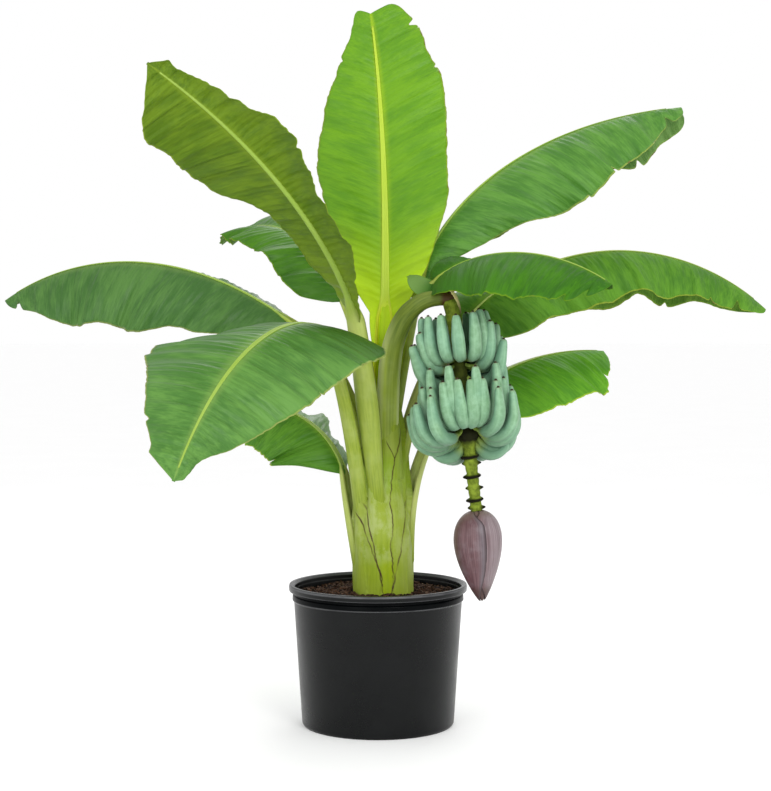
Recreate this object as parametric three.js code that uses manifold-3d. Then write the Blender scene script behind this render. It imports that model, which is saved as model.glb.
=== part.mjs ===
// Potted banana plant with a hanging fruit bunch and flower bud.
// Units are millimetres, +Z is up. The origin is the centre of the pot's flat underside.
// +X is the bunch's side, -Y is the side that the two front leaves reach towards.

import * as THREE from 'three';
import { mergeVertices } from 'three/addons/utils/BufferGeometryUtils.js';
import Module from 'manifold-3d';

const wasm = await Module();
wasm.setup();

// ---------------------------------------------------------------- driving dimensions

const CLEARANCE = 0.3; // gap kept between touching solids

const POT = {
  height: 340,
  footRadius: 180,
  bodyFootRadius: 183,
  bodyTopRadius: 203,
  bandRadius: 207,
  bandBottom: 304,
  lipRadius: 215,
  lipBottom: 328,
  lipEdge: 3, // bevel of the lip's edges
  lipInset: 9, // from the lip's outside to its inner edge
  step: 4, // height of the bevels at the foot and under the band
  wall: 4,
  floor: 5,
  sides: 32,
};

const SOIL = { edgeHeight: 315, middleHeight: 320, collar: 10, sides: 28 };

const STEM = {
  axisX: 11,
  base: SOIL.middleHeight + CLEARANCE,
  sides: 16,
  // height above the stem's foot, radius
  taper: [
    [0, 73],
    [40, 70],
    [120, 68],
    [190, 60],
    [260, 51],
    [330, 45],
    [400, 37],
    [455, 24],
  ],
  fluteDepth: 0.04,
  flutes: 5,
};

const STALK = { sides: 10, seatHalfWidth: 23, footHalfWidth: 16, flatness: 0.78, steps: 14, rings: 7 };
const BLADE = {
  thickness: 6,
  narrowest: 9, // width of a half blade where it would run out
  steps: 40,
  wholeRings: 10, // rings of points over an upright blade
  splitRings: 6, // and over each piece of an arching one
  veinSteps: 3,
  lobeReach: 0.1, // share of the blade over which the veins' backward lean fades
  edgePower: 0.6, // below 1 rounds the tip's outline
};

// Every leaf is a stalk and a blade along one midrib. Angles are in degrees.
// seat: where the stalk leaves the stem, as [angle around the stem, distance from its axis, height].
// heading: compass angle of the leaf, 0 along +X and 90 along +Y; drift: its change over the blade.
// rise: the midrib's slope at the seat, at the blade's foot and at its tip.
// bend: 1 spreads the blade's arching evenly, less puts it near the foot.
// roll and twist: turn about the midrib at the foot, and its change towards the tip.
// sweep: how far the veins lean towards the tip; lobe: how far those at the foot lean back.
// split: stations from 0 to 1 where the blade is parted, at its bend.
// Each half blade, left and right as seen from the stem: width, fold up from the midrib,
// curl over its width, peak station, and how full the foot, the tip and the blunt end are.
const LEAVES = [
  {
    name: 'crown',
    seat: [90, 4, 710], heading: 85, drift: 27, rise: [87, 78, 70],
    stalk: 255, blade: 815, bend: 1.2, roll: -6, twist: -4, sweep: 24, lobe: 0, split: [0, 1],
    left: { width: 165, fold: 9, curl: -29, peak: 0.4, foot: 1.2, tip: 1.0, blunt: 0.1 },
    right: { width: 165, fold: 18, curl: -17, peak: 0.45, foot: 1.8, tip: 1.6, blunt: 0.25 },
  },
  {
    name: 'upper_left',
    seat: [248, 44, 550], heading: 223, drift: 8, rise: [83, 78, 22],
    stalk: 420, blade: 830, bend: 0.5, roll: 2, twist: 71, sweep: 7, lobe: 7, split: [0, 0.4, 1],
    left: { width: 125, fold: -3, curl: -47, peak: 0.45, foot: 2.8, tip: 1.0, blunt: 0.05 },
    right: { width: 150, fold: 27, curl: -14, peak: 0.6, foot: 1.2, tip: 2.4, blunt: 0 },
  },
  {
    name: 'rear_left',
    seat: [135, 38, 700], heading: 131, drift: 3, rise: [85, 54, -23],
    stalk: 340, blade: 550, bend: 1.3, roll: -6, twist: -5, sweep: 11, lobe: 11, split: [0, 0.5, 1],
    left: { width: 145, fold: 4, curl: -31, peak: 0.3, foot: 2.6, tip: 1.8, blunt: 0.2 },
    right: { width: 140, fold: 22, curl: -23, peak: 0.4, foot: 2.4, tip: 2.2, blunt: 0.15 },
  },
  {
    name: 'long_left',
    seat: [162, 45, 640], heading: 170, drift: 2, rise: [80, 35, -35],
    stalk: 375, blade: 795, bend: 1.3, roll: -7, twist: -8, sweep: 13, lobe: 0, split: [0, 0.5, 1],
    left: { width: 175, fold: -29, curl: -48, peak: 0.5, foot: 2.2, tip: 1.6, blunt: 0 },
    right: { width: 165, fold: -20, curl: -45, peak: 0.5, foot: 2.2, tip: 1.6, blunt: 0.05 },
  },
  {
    name: 'front_left',
    seat: [196, 52, 500], heading: 237, drift: 13, rise: [78, 59, -50],
    stalk: 475, blade: 720, bend: 0.3, roll: -1, twist: -42, sweep: 4, lobe: 33, split: [0, 0.4, 1],
    left: { width: 225, fold: -2, curl: -24, peak: 0.25, foot: 3.2, tip: 1.0, blunt: 0 },
    right: { width: 200, fold: -4, curl: -27, peak: 0.5, foot: 2.2, tip: 1.0, blunt: 0.05 },
  },
  {
    name: 'low_left',
    seat: [176, 58, 390], heading: 163, drift: -9, rise: [78, 82, 1],
    stalk: 215, blade: 310, bend: 0.75, roll: -11, twist: -4, sweep: 15, lobe: 0, split: [0, 0.5, 1],
    left: { width: 135, fold: -27, curl: -47, peak: 0.5, foot: 2.2, tip: 2.4, blunt: 0.1 },
    right: { width: 110, fold: 1, curl: -26, peak: 0.4, foot: 2.4, tip: 2.2, blunt: 0.1 },
  },
  {
    name: 'upper_right',
    seat: [55, 34, 720], heading: 26, drift: -24, rise: [79, 76, 6],
    stalk: 385, blade: 815, bend: 0.6, roll: -1, twist: -3, sweep: 16, lobe: 6, split: [0, 0.4, 1],
    left: { width: 160, fold: -35, curl: -51, peak: 0.5, foot: 2.0, tip: 2.2, blunt: 0.1 },
    right: { width: 150, fold: -27, curl: -49, peak: 0.45, foot: 1.4, tip: 2.2, blunt: 0.05 },
  },
  {
    name: 'front_right',
    seat: [330, 30, 720], heading: 345, drift: -25, rise: [82, 60, -31],
    stalk: 360, blade: 480, bend: 0.5, roll: 5, twist: 13, sweep: 6, lobe: 36, split: [0, 0.45, 1],
    left: { width: 110, fold: 4, curl: -30, peak: 0.4, foot: 2.6, tip: 1.8, blunt: 0.05 },
    right: { width: 185, fold: -2, curl: -33, peak: 0.5, foot: 2.4, tip: 1.8, blunt: 0.05 },
  },
  {
    name: 'long_right',
    seat: [30, 46, 635], heading: 28, drift: -24, rise: [77, 43, -42],
    stalk: 375, blade: 925, bend: 1.1, roll: -1, twist: -3, sweep: 10, lobe: 24, split: [0, 0.5, 1],
    left: { width: 150, fold: -31, curl: -54, peak: 0.4, foot: 2.4, tip: 1.6, blunt: 0 },
    right: { width: 165, fold: -28, curl: -50, peak: 0.4, foot: 2.6, tip: 1.0, blunt: 0.1 },
  },
  {
    name: 'low_right',
    seat: [15, 56, 395], heading: 38, drift: -8, rise: [89, 30, -4],
    stalk: 450, blade: 475, bend: 1.05, roll: 3, twist: -4, sweep: 13, lobe: 21, split: [0, 0.5, 1],
    left: { width: 135, fold: -10, curl: -40, peak: 0.4, foot: 2.4, tip: 2.2, blunt: 0.25 },
    right: { width: 170, fold: -15, curl: -40, peak: 0.45, foot: 2.8, tip: 3.2, blunt: 0.15 },
  },
];

// The bunch hangs from a bent flower stalk that rises out of the crown.
const BUNCH = {
  // from inside the stem, over the crest, to the top of the bunch
  route: [
    [15, -8, 700],
    [30, -40, 860],
    [56, -80, 962],
    [100, -114, 1014],
    [146, -120, 1024],
    [175, -120, 1008],
  ],
  budNeck: [231, -120, 528],
  stalkRadius: 20,
  neckRadius: 14,
  sides: 12,
  routeRings: 11,
  hangingRings: 5,
};

// Hands of fruit, as rings round the flower stalk: station along it for the ring's top and bottom,
// and the outer radius at the top, the middle and the bottom.
const HANDS = [
  { name: 'fruit_hand_1', from: 0.03, to: 0.175, radii: [62, 88, 98] },
  { name: 'fruit_hand_2', from: 0.176, to: 0.36, radii: [98, 134, 112] },
  { name: 'fruit_hand_3', from: 0.361, to: 0.52, radii: [112, 138, 128] },
  { name: 'fruit_hand_4', from: 0.521, to: 0.79, radii: [128, 132, 46] },
];
const HAND = { sides: 24, ridges: 12, ridgeDepth: 0.05, rearFlatness: 0.82 };

const BUD = { length: 208, radius: 56, blunt: 0.015, shoulder: 0.72, fullness: 0.8, sides: 16, rings: 10 };

const FINISHES = {
  pot: { color: 0x2b2c2e, roughness: 0.45 },
  soil: { color: 0x3b2a20, roughness: 0.95 },
  stem: { color: 0x9cb348, roughness: 0.5 },
  stalk: { color: 0xa4b956, roughness: 0.5 },
  blade: { color: 0x4f8f35, roughness: 0.4 },
  crownBlade: { color: 0x86bf27, roughness: 0.4 },
  flowerStalk: { color: 0x8b9a3a, roughness: 0.5 },
  fruit: { color: 0x8fb8a5, roughness: 0.5 },
  bud: { color: 0x7d5a62, roughness: 0.45 },
};

// ---------------------------------------------------------------- meshes and solids

const group = new THREE.Group();

function addPart(name, solid, finish) {
  const material = new THREE.MeshStandardMaterial({ ...finish, metalness: 0 });
  const mesh = new THREE.Mesh(toGeometry(solid), material);
  mesh.name = name;
  group.add(mesh);
}

function toSolid(geometry) {
  const bare = geometry.clone();
  bare.deleteAttribute('normal');
  bare.deleteAttribute('uv');
  const merged = mergeVertices(bare, 1e-4);
  return new wasm.Manifold(new wasm.Mesh({
    numProp: 3,
    vertProperties: new Float32Array(merged.attributes.position.array),
    triVerts: new Uint32Array(merged.index.array),
  }));
}

function toGeometry(solid) {
  const mesh = solid.getMesh();
  const geometry = new THREE.BufferGeometry();
  geometry.setAttribute('position', new THREE.BufferAttribute(mesh.vertProperties, 3));
  geometry.setIndex(new THREE.BufferAttribute(mesh.triVerts, 1));
  return geometry;
}

// The largest piece of a solid that cuts have parted.
function largestPiece(solid) {
  const pieces = solid.decompose();
  pieces.sort((a, b) => b.volume() - a.volume());
  return pieces[0];
}

// The faces between ring number r and another ring, both of count points.
function band(r, other, count) {
  const faces = [];
  for (let i = 0; i < count; i += 1) {
    const j = (i + 1) % count;
    const [a, b, c, d] = [r * count + i, r * count + j, other * count + j, other * count + i];
    faces.push(a, b, c, a, c, d);
  }
  return faces;
}

// A flat end over one ring, as a ladder between its two halves, which also fits a curved strip.
function cap(r, count, outward) {
  const faces = [];
  for (let i = 0; i < count / 2 - 1; i += 1) {
    const [a, b, c, d] = [i, i + 1, count - 2 - i, count - 1 - i].map((k) => r * count + k);
    faces.push(...(outward ? [a, b, c, a, c, d] : [a, c, b, a, d, c]));
  }
  return faces;
}

function skin(rings, faces) {
  const geometry = new THREE.BufferGeometry().setFromPoints(rings.flat());
  geometry.setIndex(faces);
  return toSolid(geometry);
}

// A solid over rings of points. Each ring has the same even count and runs the same way round.
function loft(rings) {
  const count = rings[0].length;
  const last = rings.length - 1;
  const sides = rings.slice(1).flatMap((_, r) => band(r, r + 1, count));
  return skin(rings, [...cap(0, count, false), ...sides, ...cap(last, count, true)]);
}

// A ring-shaped solid: its last ring of points joins the first.
function closedLoop(rings) {
  const count = rings[0].length;
  return skin(rings, rings.flatMap((_, r) => band(r, (r + 1) % rings.length, count)));
}

// Points of an ellipse about a centre, in the plane of two unit vectors.
function ellipse(centre, across, up, halfWidth, halfDepth, sides) {
  const ring = [];
  for (let i = 0; i < sides; i += 1) {
    const angle = (2 * Math.PI * i) / sides;
    ring.push(centre.clone()
      .addScaledVector(across, halfWidth * Math.cos(angle))
      .addScaledVector(up, halfDepth * Math.sin(angle)));
  }
  return ring;
}

function blend(a, b, t) {
  return a + (b - a) * t;
}

// ---------------------------------------------------------------- pot and soil

// Radius of the pot's inner wall at a height.
function innerRadius(z) {
  return blend(POT.bodyFootRadius, POT.bodyTopRadius, z / POT.bandBottom) - POT.wall;
}

// A solid turned about +Z from an outline of [radius, height] points.
function turned(outline, sides) {
  const points = outline.map(([radius, z]) => new THREE.Vector2(radius, z));
  return toSolid(new THREE.LatheGeometry(points, sides).rotateX(Math.PI / 2));
}

function makePot() {
  const { lipRadius, lipEdge, height } = POT;
  const neck = innerRadius(POT.bandBottom);
  addPart('pot', turned([
    [0, 0],
    [POT.footRadius, 0],
    [POT.bodyFootRadius, POT.step],
    [POT.bodyTopRadius, POT.bandBottom - POT.step],
    [POT.bandRadius, POT.bandBottom],
    [POT.bandRadius, POT.lipBottom],
    [lipRadius, POT.lipBottom],
    [lipRadius, height - lipEdge],
    [lipRadius - lipEdge, height],
    [lipRadius - POT.lipInset, height],
    [neck, height - POT.lipInset],
    [neck, POT.bandBottom],
    [innerRadius(POT.floor), POT.floor],
    [0, POT.floor],
  ], POT.sides), FINISHES.pot);
}

// The soil's corners stay inside the flats of the pot's faceted wall.
function makeSoil() {
  const flats = Math.cos(Math.PI / POT.sides);
  const radiusAt = (z) => (innerRadius(z) - CLEARANCE) * flats - CLEARANCE;
  const [, stemRadius] = STEM.taper[0];
  addPart('soil', turned([
    [0, POT.floor + CLEARANCE],
    [radiusAt(POT.floor), POT.floor + CLEARANCE],
    [radiusAt(POT.bandBottom), POT.bandBottom],
    [radiusAt(POT.bandBottom), SOIL.edgeHeight],
    [stemRadius + SOIL.collar, SOIL.middleHeight],
    [0, SOIL.middleHeight],
  ], SOIL.sides), FINISHES.soil);
}

// ---------------------------------------------------------------- stem

function stemSolid(grow) {
  const rings = STEM.taper.map(([height, radius]) => {
    const ring = [];
    for (let i = 0; i < STEM.sides; i += 1) {
      const angle = (2 * Math.PI * i) / STEM.sides;
      const flute = 1 + STEM.fluteDepth * Math.cos(STEM.flutes * angle);
      const reach = radius * flute + grow;
      const z = STEM.base + height + (height > 0 ? grow : 0);
      ring.push(new THREE.Vector3(STEM.axisX + reach * Math.cos(angle), reach * Math.sin(angle), z));
    }
    return ring;
  });
  return loft(rings);
}

// ---------------------------------------------------------------- leaves

// Frames along a leaf's midrib: position, along, left, up, and station (0 to 1 over the part).
function leafFrames(leaf) {
  const seatAngle = THREE.MathUtils.degToRad(leaf.seat[0]);
  const position = new THREE.Vector3(
    STEM.axisX + leaf.seat[1] * Math.cos(seatAngle),
    leaf.seat[1] * Math.sin(seatAngle),
    leaf.seat[2],
  );
  const [riseSeat, riseFoot, riseTip] = leaf.rise;
  const stalkRise = (s) => blend(riseSeat, riseFoot, s ** 1.5);
  const bladeRise = (s) => blend(riseFoot, riseTip, s ** leaf.bend);
  const stalk = [frameAt(position, stalkRise(0), leaf.heading, leaf.roll, 0)];
  for (let i = 0; i < STALK.steps; i += 1) {
    const middle = frameAt(position, stalkRise((i + 0.5) / STALK.steps), leaf.heading, 0, 0);
    position.addScaledVector(middle.along, leaf.stalk / STALK.steps);
    const s = (i + 1) / STALK.steps;
    stalk.push(frameAt(position, stalkRise(s), leaf.heading, leaf.roll, s));
  }
  const blade = [frameAt(position, riseFoot, leaf.heading, leaf.roll, 0)];
  for (let i = 0; i < BLADE.steps; i += 1) {
    const m = (i + 0.5) / BLADE.steps;
    const middle = frameAt(position, bladeRise(m), leaf.heading + leaf.drift * m, 0, 0);
    position.addScaledVector(middle.along, leaf.blade / BLADE.steps);
    const s = (i + 1) / BLADE.steps;
    const heading = leaf.heading + leaf.drift * s;
    blade.push(frameAt(position, bladeRise(s), heading, leaf.roll + leaf.twist * s, s));
  }
  return { stalk, blade };
}

function frameAt(position, rise, heading, roll, station) {
  const e = THREE.MathUtils.degToRad(rise);
  const h = THREE.MathUtils.degToRad(heading);
  const direction = new THREE.Vector3(Math.cos(e) * Math.cos(h), Math.cos(e) * Math.sin(h), Math.sin(e));
  const left = new THREE.Vector3(-Math.sin(h), Math.cos(h), 0);
  const up = direction.clone().cross(left);
  const turn = THREE.MathUtils.degToRad(roll);
  left.applyAxisAngle(direction, turn);
  up.applyAxisAngle(direction, turn);
  return { position: position.clone(), along: direction, left, up, station };
}

// Share of a half blade's width at a station.
function widthShare(half, s) {
  if (s < half.peak) {
    return Math.sqrt(Math.max(0, 1 - (1 - s / half.peak) ** half.foot));
  }
  const past = (s - half.peak) / (1 - half.peak);
  return half.blunt + (1 - half.blunt) * Math.max(0, 1 - past ** half.tip) ** BLADE.edgePower;
}

// Points and upward normals along one vein, from the midrib to the margin.
function vein(leaf, frame, side) {
  const half = side > 0 ? leaf.left : leaf.right;
  const width = Math.max(BLADE.narrowest, half.width * widthShare(half, frame.station));
  const lean = leaf.sweep - leaf.lobe * Math.exp(-frame.station / BLADE.lobeReach);
  const forward = Math.tan(THREE.MathUtils.degToRad(lean));
  const point = frame.position.clone();
  const points = [{ point: point.clone(), normal: frame.up.clone() }];
  for (let j = 0; j < BLADE.veinSteps; j += 1) {
    const v = (j + 0.5) / BLADE.veinSteps;
    const slope = THREE.MathUtils.degToRad(half.fold + half.curl * v);
    const step = width / BLADE.veinSteps;
    point.addScaledVector(frame.left, side * step * Math.cos(slope));
    point.addScaledVector(frame.up, step * Math.sin(slope));
    point.addScaledVector(frame.along, step * forward);
    const normal = frame.up.clone().multiplyScalar(Math.cos(slope))
      .addScaledVector(frame.left, -side * Math.sin(slope));
    points.push({ point: point.clone(), normal });
  }
  return points;
}

// The blade's cross-section at a frame: a thin strip, as one closed ring of points.
function bladeRing(leaf, frame) {
  const left = vein(leaf, frame, 1);
  const right = vein(leaf, frame, -1);
  const row = [...left.reverse(), ...right.slice(1)];
  const top = row.map((p) => p.point.clone().addScaledVector(p.normal, BLADE.thickness / 2));
  const bottom = row.map((p) => p.point.clone().addScaledVector(p.normal, -BLADE.thickness / 2));
  return [...top, ...bottom.reverse()];
}

function bladeSolid(leaf, frames, from, to, count) {
  const rings = [];
  for (let r = 0; r < count; r += 1) {
    const station = blend(from, to, r / (count - 1));
    rings.push(bladeRing(leaf, frames[Math.round(station * BLADE.steps)]));
  }
  // A small gap parts the blade from its stalk, or from its own inner piece.
  const shift = frames[Math.round(from * BLADE.steps)].along.clone().multiplyScalar(CLEARANCE);
  rings[0].forEach((point) => point.add(shift));
  return loft(rings);
}

function stalkSolid(frames, grow) {
  const rings = [];
  for (let r = 0; r < STALK.rings; r += 1) {
    const { position, left, up, station } = frames[Math.round((r * STALK.steps) / (STALK.rings - 1))];
    const halfWidth = blend(STALK.seatHalfWidth, STALK.footHalfWidth, station) + grow;
    rings.push(ellipse(position, left, up, halfWidth, halfWidth * STALK.flatness, STALK.sides));
  }
  return loft(rings);
}

// Each stalk is cut clear of what stands before it, and becomes a cutter for what follows.
function makeLeaf(leaf, cutters) {
  const frames = leafFrames(leaf);
  const stalk = cutters.reduce((solid, cutter) => solid.subtract(cutter), stalkSolid(frames.stalk, 0));
  addPart(`${leaf.name}_stalk`, largestPiece(stalk), FINISHES.stalk);
  const cutter = stalkSolid(frames.stalk, CLEARANCE);
  cutters.push(cutter);
  const whole = leaf.split.length === 2;
  const labels = whole ? ['blade'] : ['blade_inner', 'blade_outer'];
  const count = whole ? BLADE.wholeRings : BLADE.splitRings;
  const finish = leaf.name === 'crown' ? FINISHES.crownBlade : FINISHES.blade;
  labels.forEach((label, k) => {
    const blade = bladeSolid(leaf, frames.blade, leaf.split[k], leaf.split[k + 1], count);
    addPart(`${leaf.name}_${label}`, largestPiece(blade.subtract(cutter)), finish);
  });
}

// ---------------------------------------------------------------- flower stalk, fruit and bud

const bunchTop = new THREE.Vector3(...BUNCH.route[BUNCH.route.length - 1]);
const budNeck = new THREE.Vector3(...BUNCH.budNeck);
const flowerCurve = new THREE.CatmullRomCurve3(BUNCH.route.map((point) => new THREE.Vector3(...point)));

// The bunch's own directions: down its stalk, to its front and to its side.
const down = budNeck.clone().sub(bunchTop).normalize();
const front = new THREE.Vector3(0, -1, 0);
const side = front.clone().cross(down).normalize();

// A round limb along a curve that lies near the plane of +X and +Z.
function limb(curve, startRadius, endRadius, count) {
  const rings = [];
  for (let r = 0; r < count; r += 1) {
    const t = r / (count - 1);
    const direction = curve.getTangent(t);
    const across = new THREE.Vector3(0, 1, 0).cross(direction).normalize();
    const up = direction.clone().cross(across);
    const radius = blend(startRadius, endRadius, t);
    rings.push(ellipse(curve.getPoint(t), across, up, radius, radius, BUNCH.sides));
  }
  return loft(rings);
}

function flowerStalkSolid(grow) {
  const radius = BUNCH.stalkRadius + grow;
  return limb(flowerCurve, radius, radius, BUNCH.routeRings);
}

function hangingStalkSolid() {
  const start = bunchTop.clone().addScaledVector(down, CLEARANCE);
  const curve = new THREE.LineCurve3(start, budNeck);
  return limb(curve, BUNCH.stalkRadius, BUNCH.neckRadius, BUNCH.hangingRings);
}

// Point on the hanging stalk: 0 at the top of the bunch, 1 at the bud.
function bunchPoint(station) {
  return bunchTop.clone().lerp(budNeck, station);
}

// One level of a hand. The outside is ridged by its fruits and flatter at the rear.
function handRing(station, radius) {
  const ring = [];
  for (let i = 0; i < HAND.sides; i += 1) {
    const angle = (2 * Math.PI * i) / HAND.sides;
    const reach = radius * (1 + HAND.ridgeDepth * Math.cos(HAND.ridges * angle));
    const depth = Math.sin(angle) < 0 ? HAND.rearFlatness : 1;
    ring.push(bunchPoint(station)
      .addScaledVector(side, reach * Math.cos(angle))
      .addScaledVector(front, reach * depth * Math.sin(angle)));
  }
  return ring;
}

// The hole that the hanging stalk passes through.
function boreRing(station) {
  const radius = blend(BUNCH.stalkRadius, BUNCH.neckRadius, station) + 2 * CLEARANCE;
  return ellipse(bunchPoint(station), side, front, radius, radius, HAND.sides);
}

// A hand is a thick ring: its skin runs down the outside and back up the bore.
function makeHand(hand) {
  const outside = hand.radii.map((radius, k) => (
    handRing(blend(hand.from, hand.to, k / (hand.radii.length - 1)), radius)
  ));
  addPart(hand.name, closedLoop([...outside, boreRing(hand.to), boreRing(hand.from)]), FINISHES.fruit);
}

function makeBud() {
  const rings = [];
  for (let r = 0; r < BUD.rings; r += 1) {
    const s = r / (BUD.rings - 1);
    const swell = Math.sin(Math.PI * blend(BUD.blunt, 1 - BUD.blunt, s) ** BUD.shoulder);
    const radius = BUD.radius * swell ** BUD.fullness;
    const centre = budNeck.clone().addScaledVector(down, CLEARANCE + s * BUD.length);
    rings.push(ellipse(centre, side, front, radius, radius, BUD.sides));
  }
  addPart('flower_bud', loft(rings), FINISHES.bud);
}

// ---------------------------------------------------------------- assembly

makePot();
makeSoil();
addPart('pseudostem', stemSolid(0), FINISHES.stem);

const stemCutter = stemSolid(CLEARANCE);
const flowerCutter = flowerStalkSolid(CLEARANCE);
addPart('flower_stalk', largestPiece(flowerStalkSolid(0).subtract(stemCutter)), FINISHES.flowerStalk);
addPart('bunch_stalk', largestPiece(hangingStalkSolid().subtract(flowerCutter)), FINISHES.flowerStalk);
HANDS.forEach(makeHand);
makeBud();

const cutters = [stemCutter, flowerCutter];
LEAVES.forEach((leaf) => makeLeaf(leaf, cutters));

export default group;
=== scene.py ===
"""Potted banana plant with a hanging bunch: the looks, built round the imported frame. Units are metres."""

import math
import random

import bpy
import numpy as np
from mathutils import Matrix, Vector


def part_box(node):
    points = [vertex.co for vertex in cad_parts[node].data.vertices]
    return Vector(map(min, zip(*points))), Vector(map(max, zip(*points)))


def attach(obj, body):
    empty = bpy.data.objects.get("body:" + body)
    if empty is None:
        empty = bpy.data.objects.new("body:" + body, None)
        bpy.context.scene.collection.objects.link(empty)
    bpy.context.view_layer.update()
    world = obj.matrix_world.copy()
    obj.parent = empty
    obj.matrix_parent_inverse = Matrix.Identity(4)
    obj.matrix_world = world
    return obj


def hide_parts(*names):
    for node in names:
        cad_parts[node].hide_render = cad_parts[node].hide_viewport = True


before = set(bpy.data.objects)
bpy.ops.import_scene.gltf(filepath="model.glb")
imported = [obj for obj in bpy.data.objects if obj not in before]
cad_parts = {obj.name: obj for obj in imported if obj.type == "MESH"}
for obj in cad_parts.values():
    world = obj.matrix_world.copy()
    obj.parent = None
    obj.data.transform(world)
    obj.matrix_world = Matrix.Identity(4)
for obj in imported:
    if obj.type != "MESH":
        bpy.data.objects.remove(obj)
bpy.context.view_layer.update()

BODY = "root"

# ---------------------------------------- places taken from the frame

POT_HIGH = np.array(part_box("pot")[1])
SOIL_HIGH = np.array(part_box("soil")[1])
STEM_LOW, STEM_HIGH = (np.array(corner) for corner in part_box("pseudostem"))
STEM_AXIS = np.array([(STEM_LOW[0] + STEM_HIGH[0]) / 2, 0.0, 0.0])

# ---------------------------------------- named sizes of the plant

# Height above the soil and radius of the stem.
STEM_TAPER = np.array([
    (0.000, 0.0725), (0.040, 0.070), (0.120, 0.068), (0.190, 0.060),
    (0.260, 0.051), (0.330, 0.045), (0.400, 0.037), (0.455, 0.024),
])
# Height of the soil bed's hidden lower edge.
SOIL_BED_LOW = 0.25
# A stalk's half width at its seat on the stem and at its blade, and its depth as a share of that.
STALK_SEAT_WIDTH = 0.0225
STALK_FOOT_WIDTH = 0.0145
STALK_DEPTH = 0.78
# How far below its seat a stalk still shows as a ridge of its sheath.
RIDGE_LENGTH = 0.15
# How far back from its seat each of the rings lies that sink a stalk into the stem.
ROOTS = np.linspace(0.07, 0.005, 12)
# A blade's rings are this far apart, with this many steps from its midrib to each margin.
BLADE_STEP, BLADE_STEPS = 0.0036, 17
# Half the thickness of a blade, and the height and length of its fine pleats and its broad folds.
BLADE_SKIN = 0.0005
PLEAT_DEPTH, PLEAT_LENGTH = 0.0011, 0.0165
FOLD_DEPTH, FOLD_LENGTH = 0.0032, 0.061
# A leaf's roughness, the share of its foot's colour and the lift of its midrib, where it has none of its own.
USUAL_GLOSS, USUAL_FOOT, USUAL_RIB_LIFT = 0.42, 0.55, 0.0012
# The share of a blade that the lobes at its foot take up, and the power that rounds its tip.
LOBE_REACH = 0.1
TIP_ROUNDING = 0.6

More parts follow.
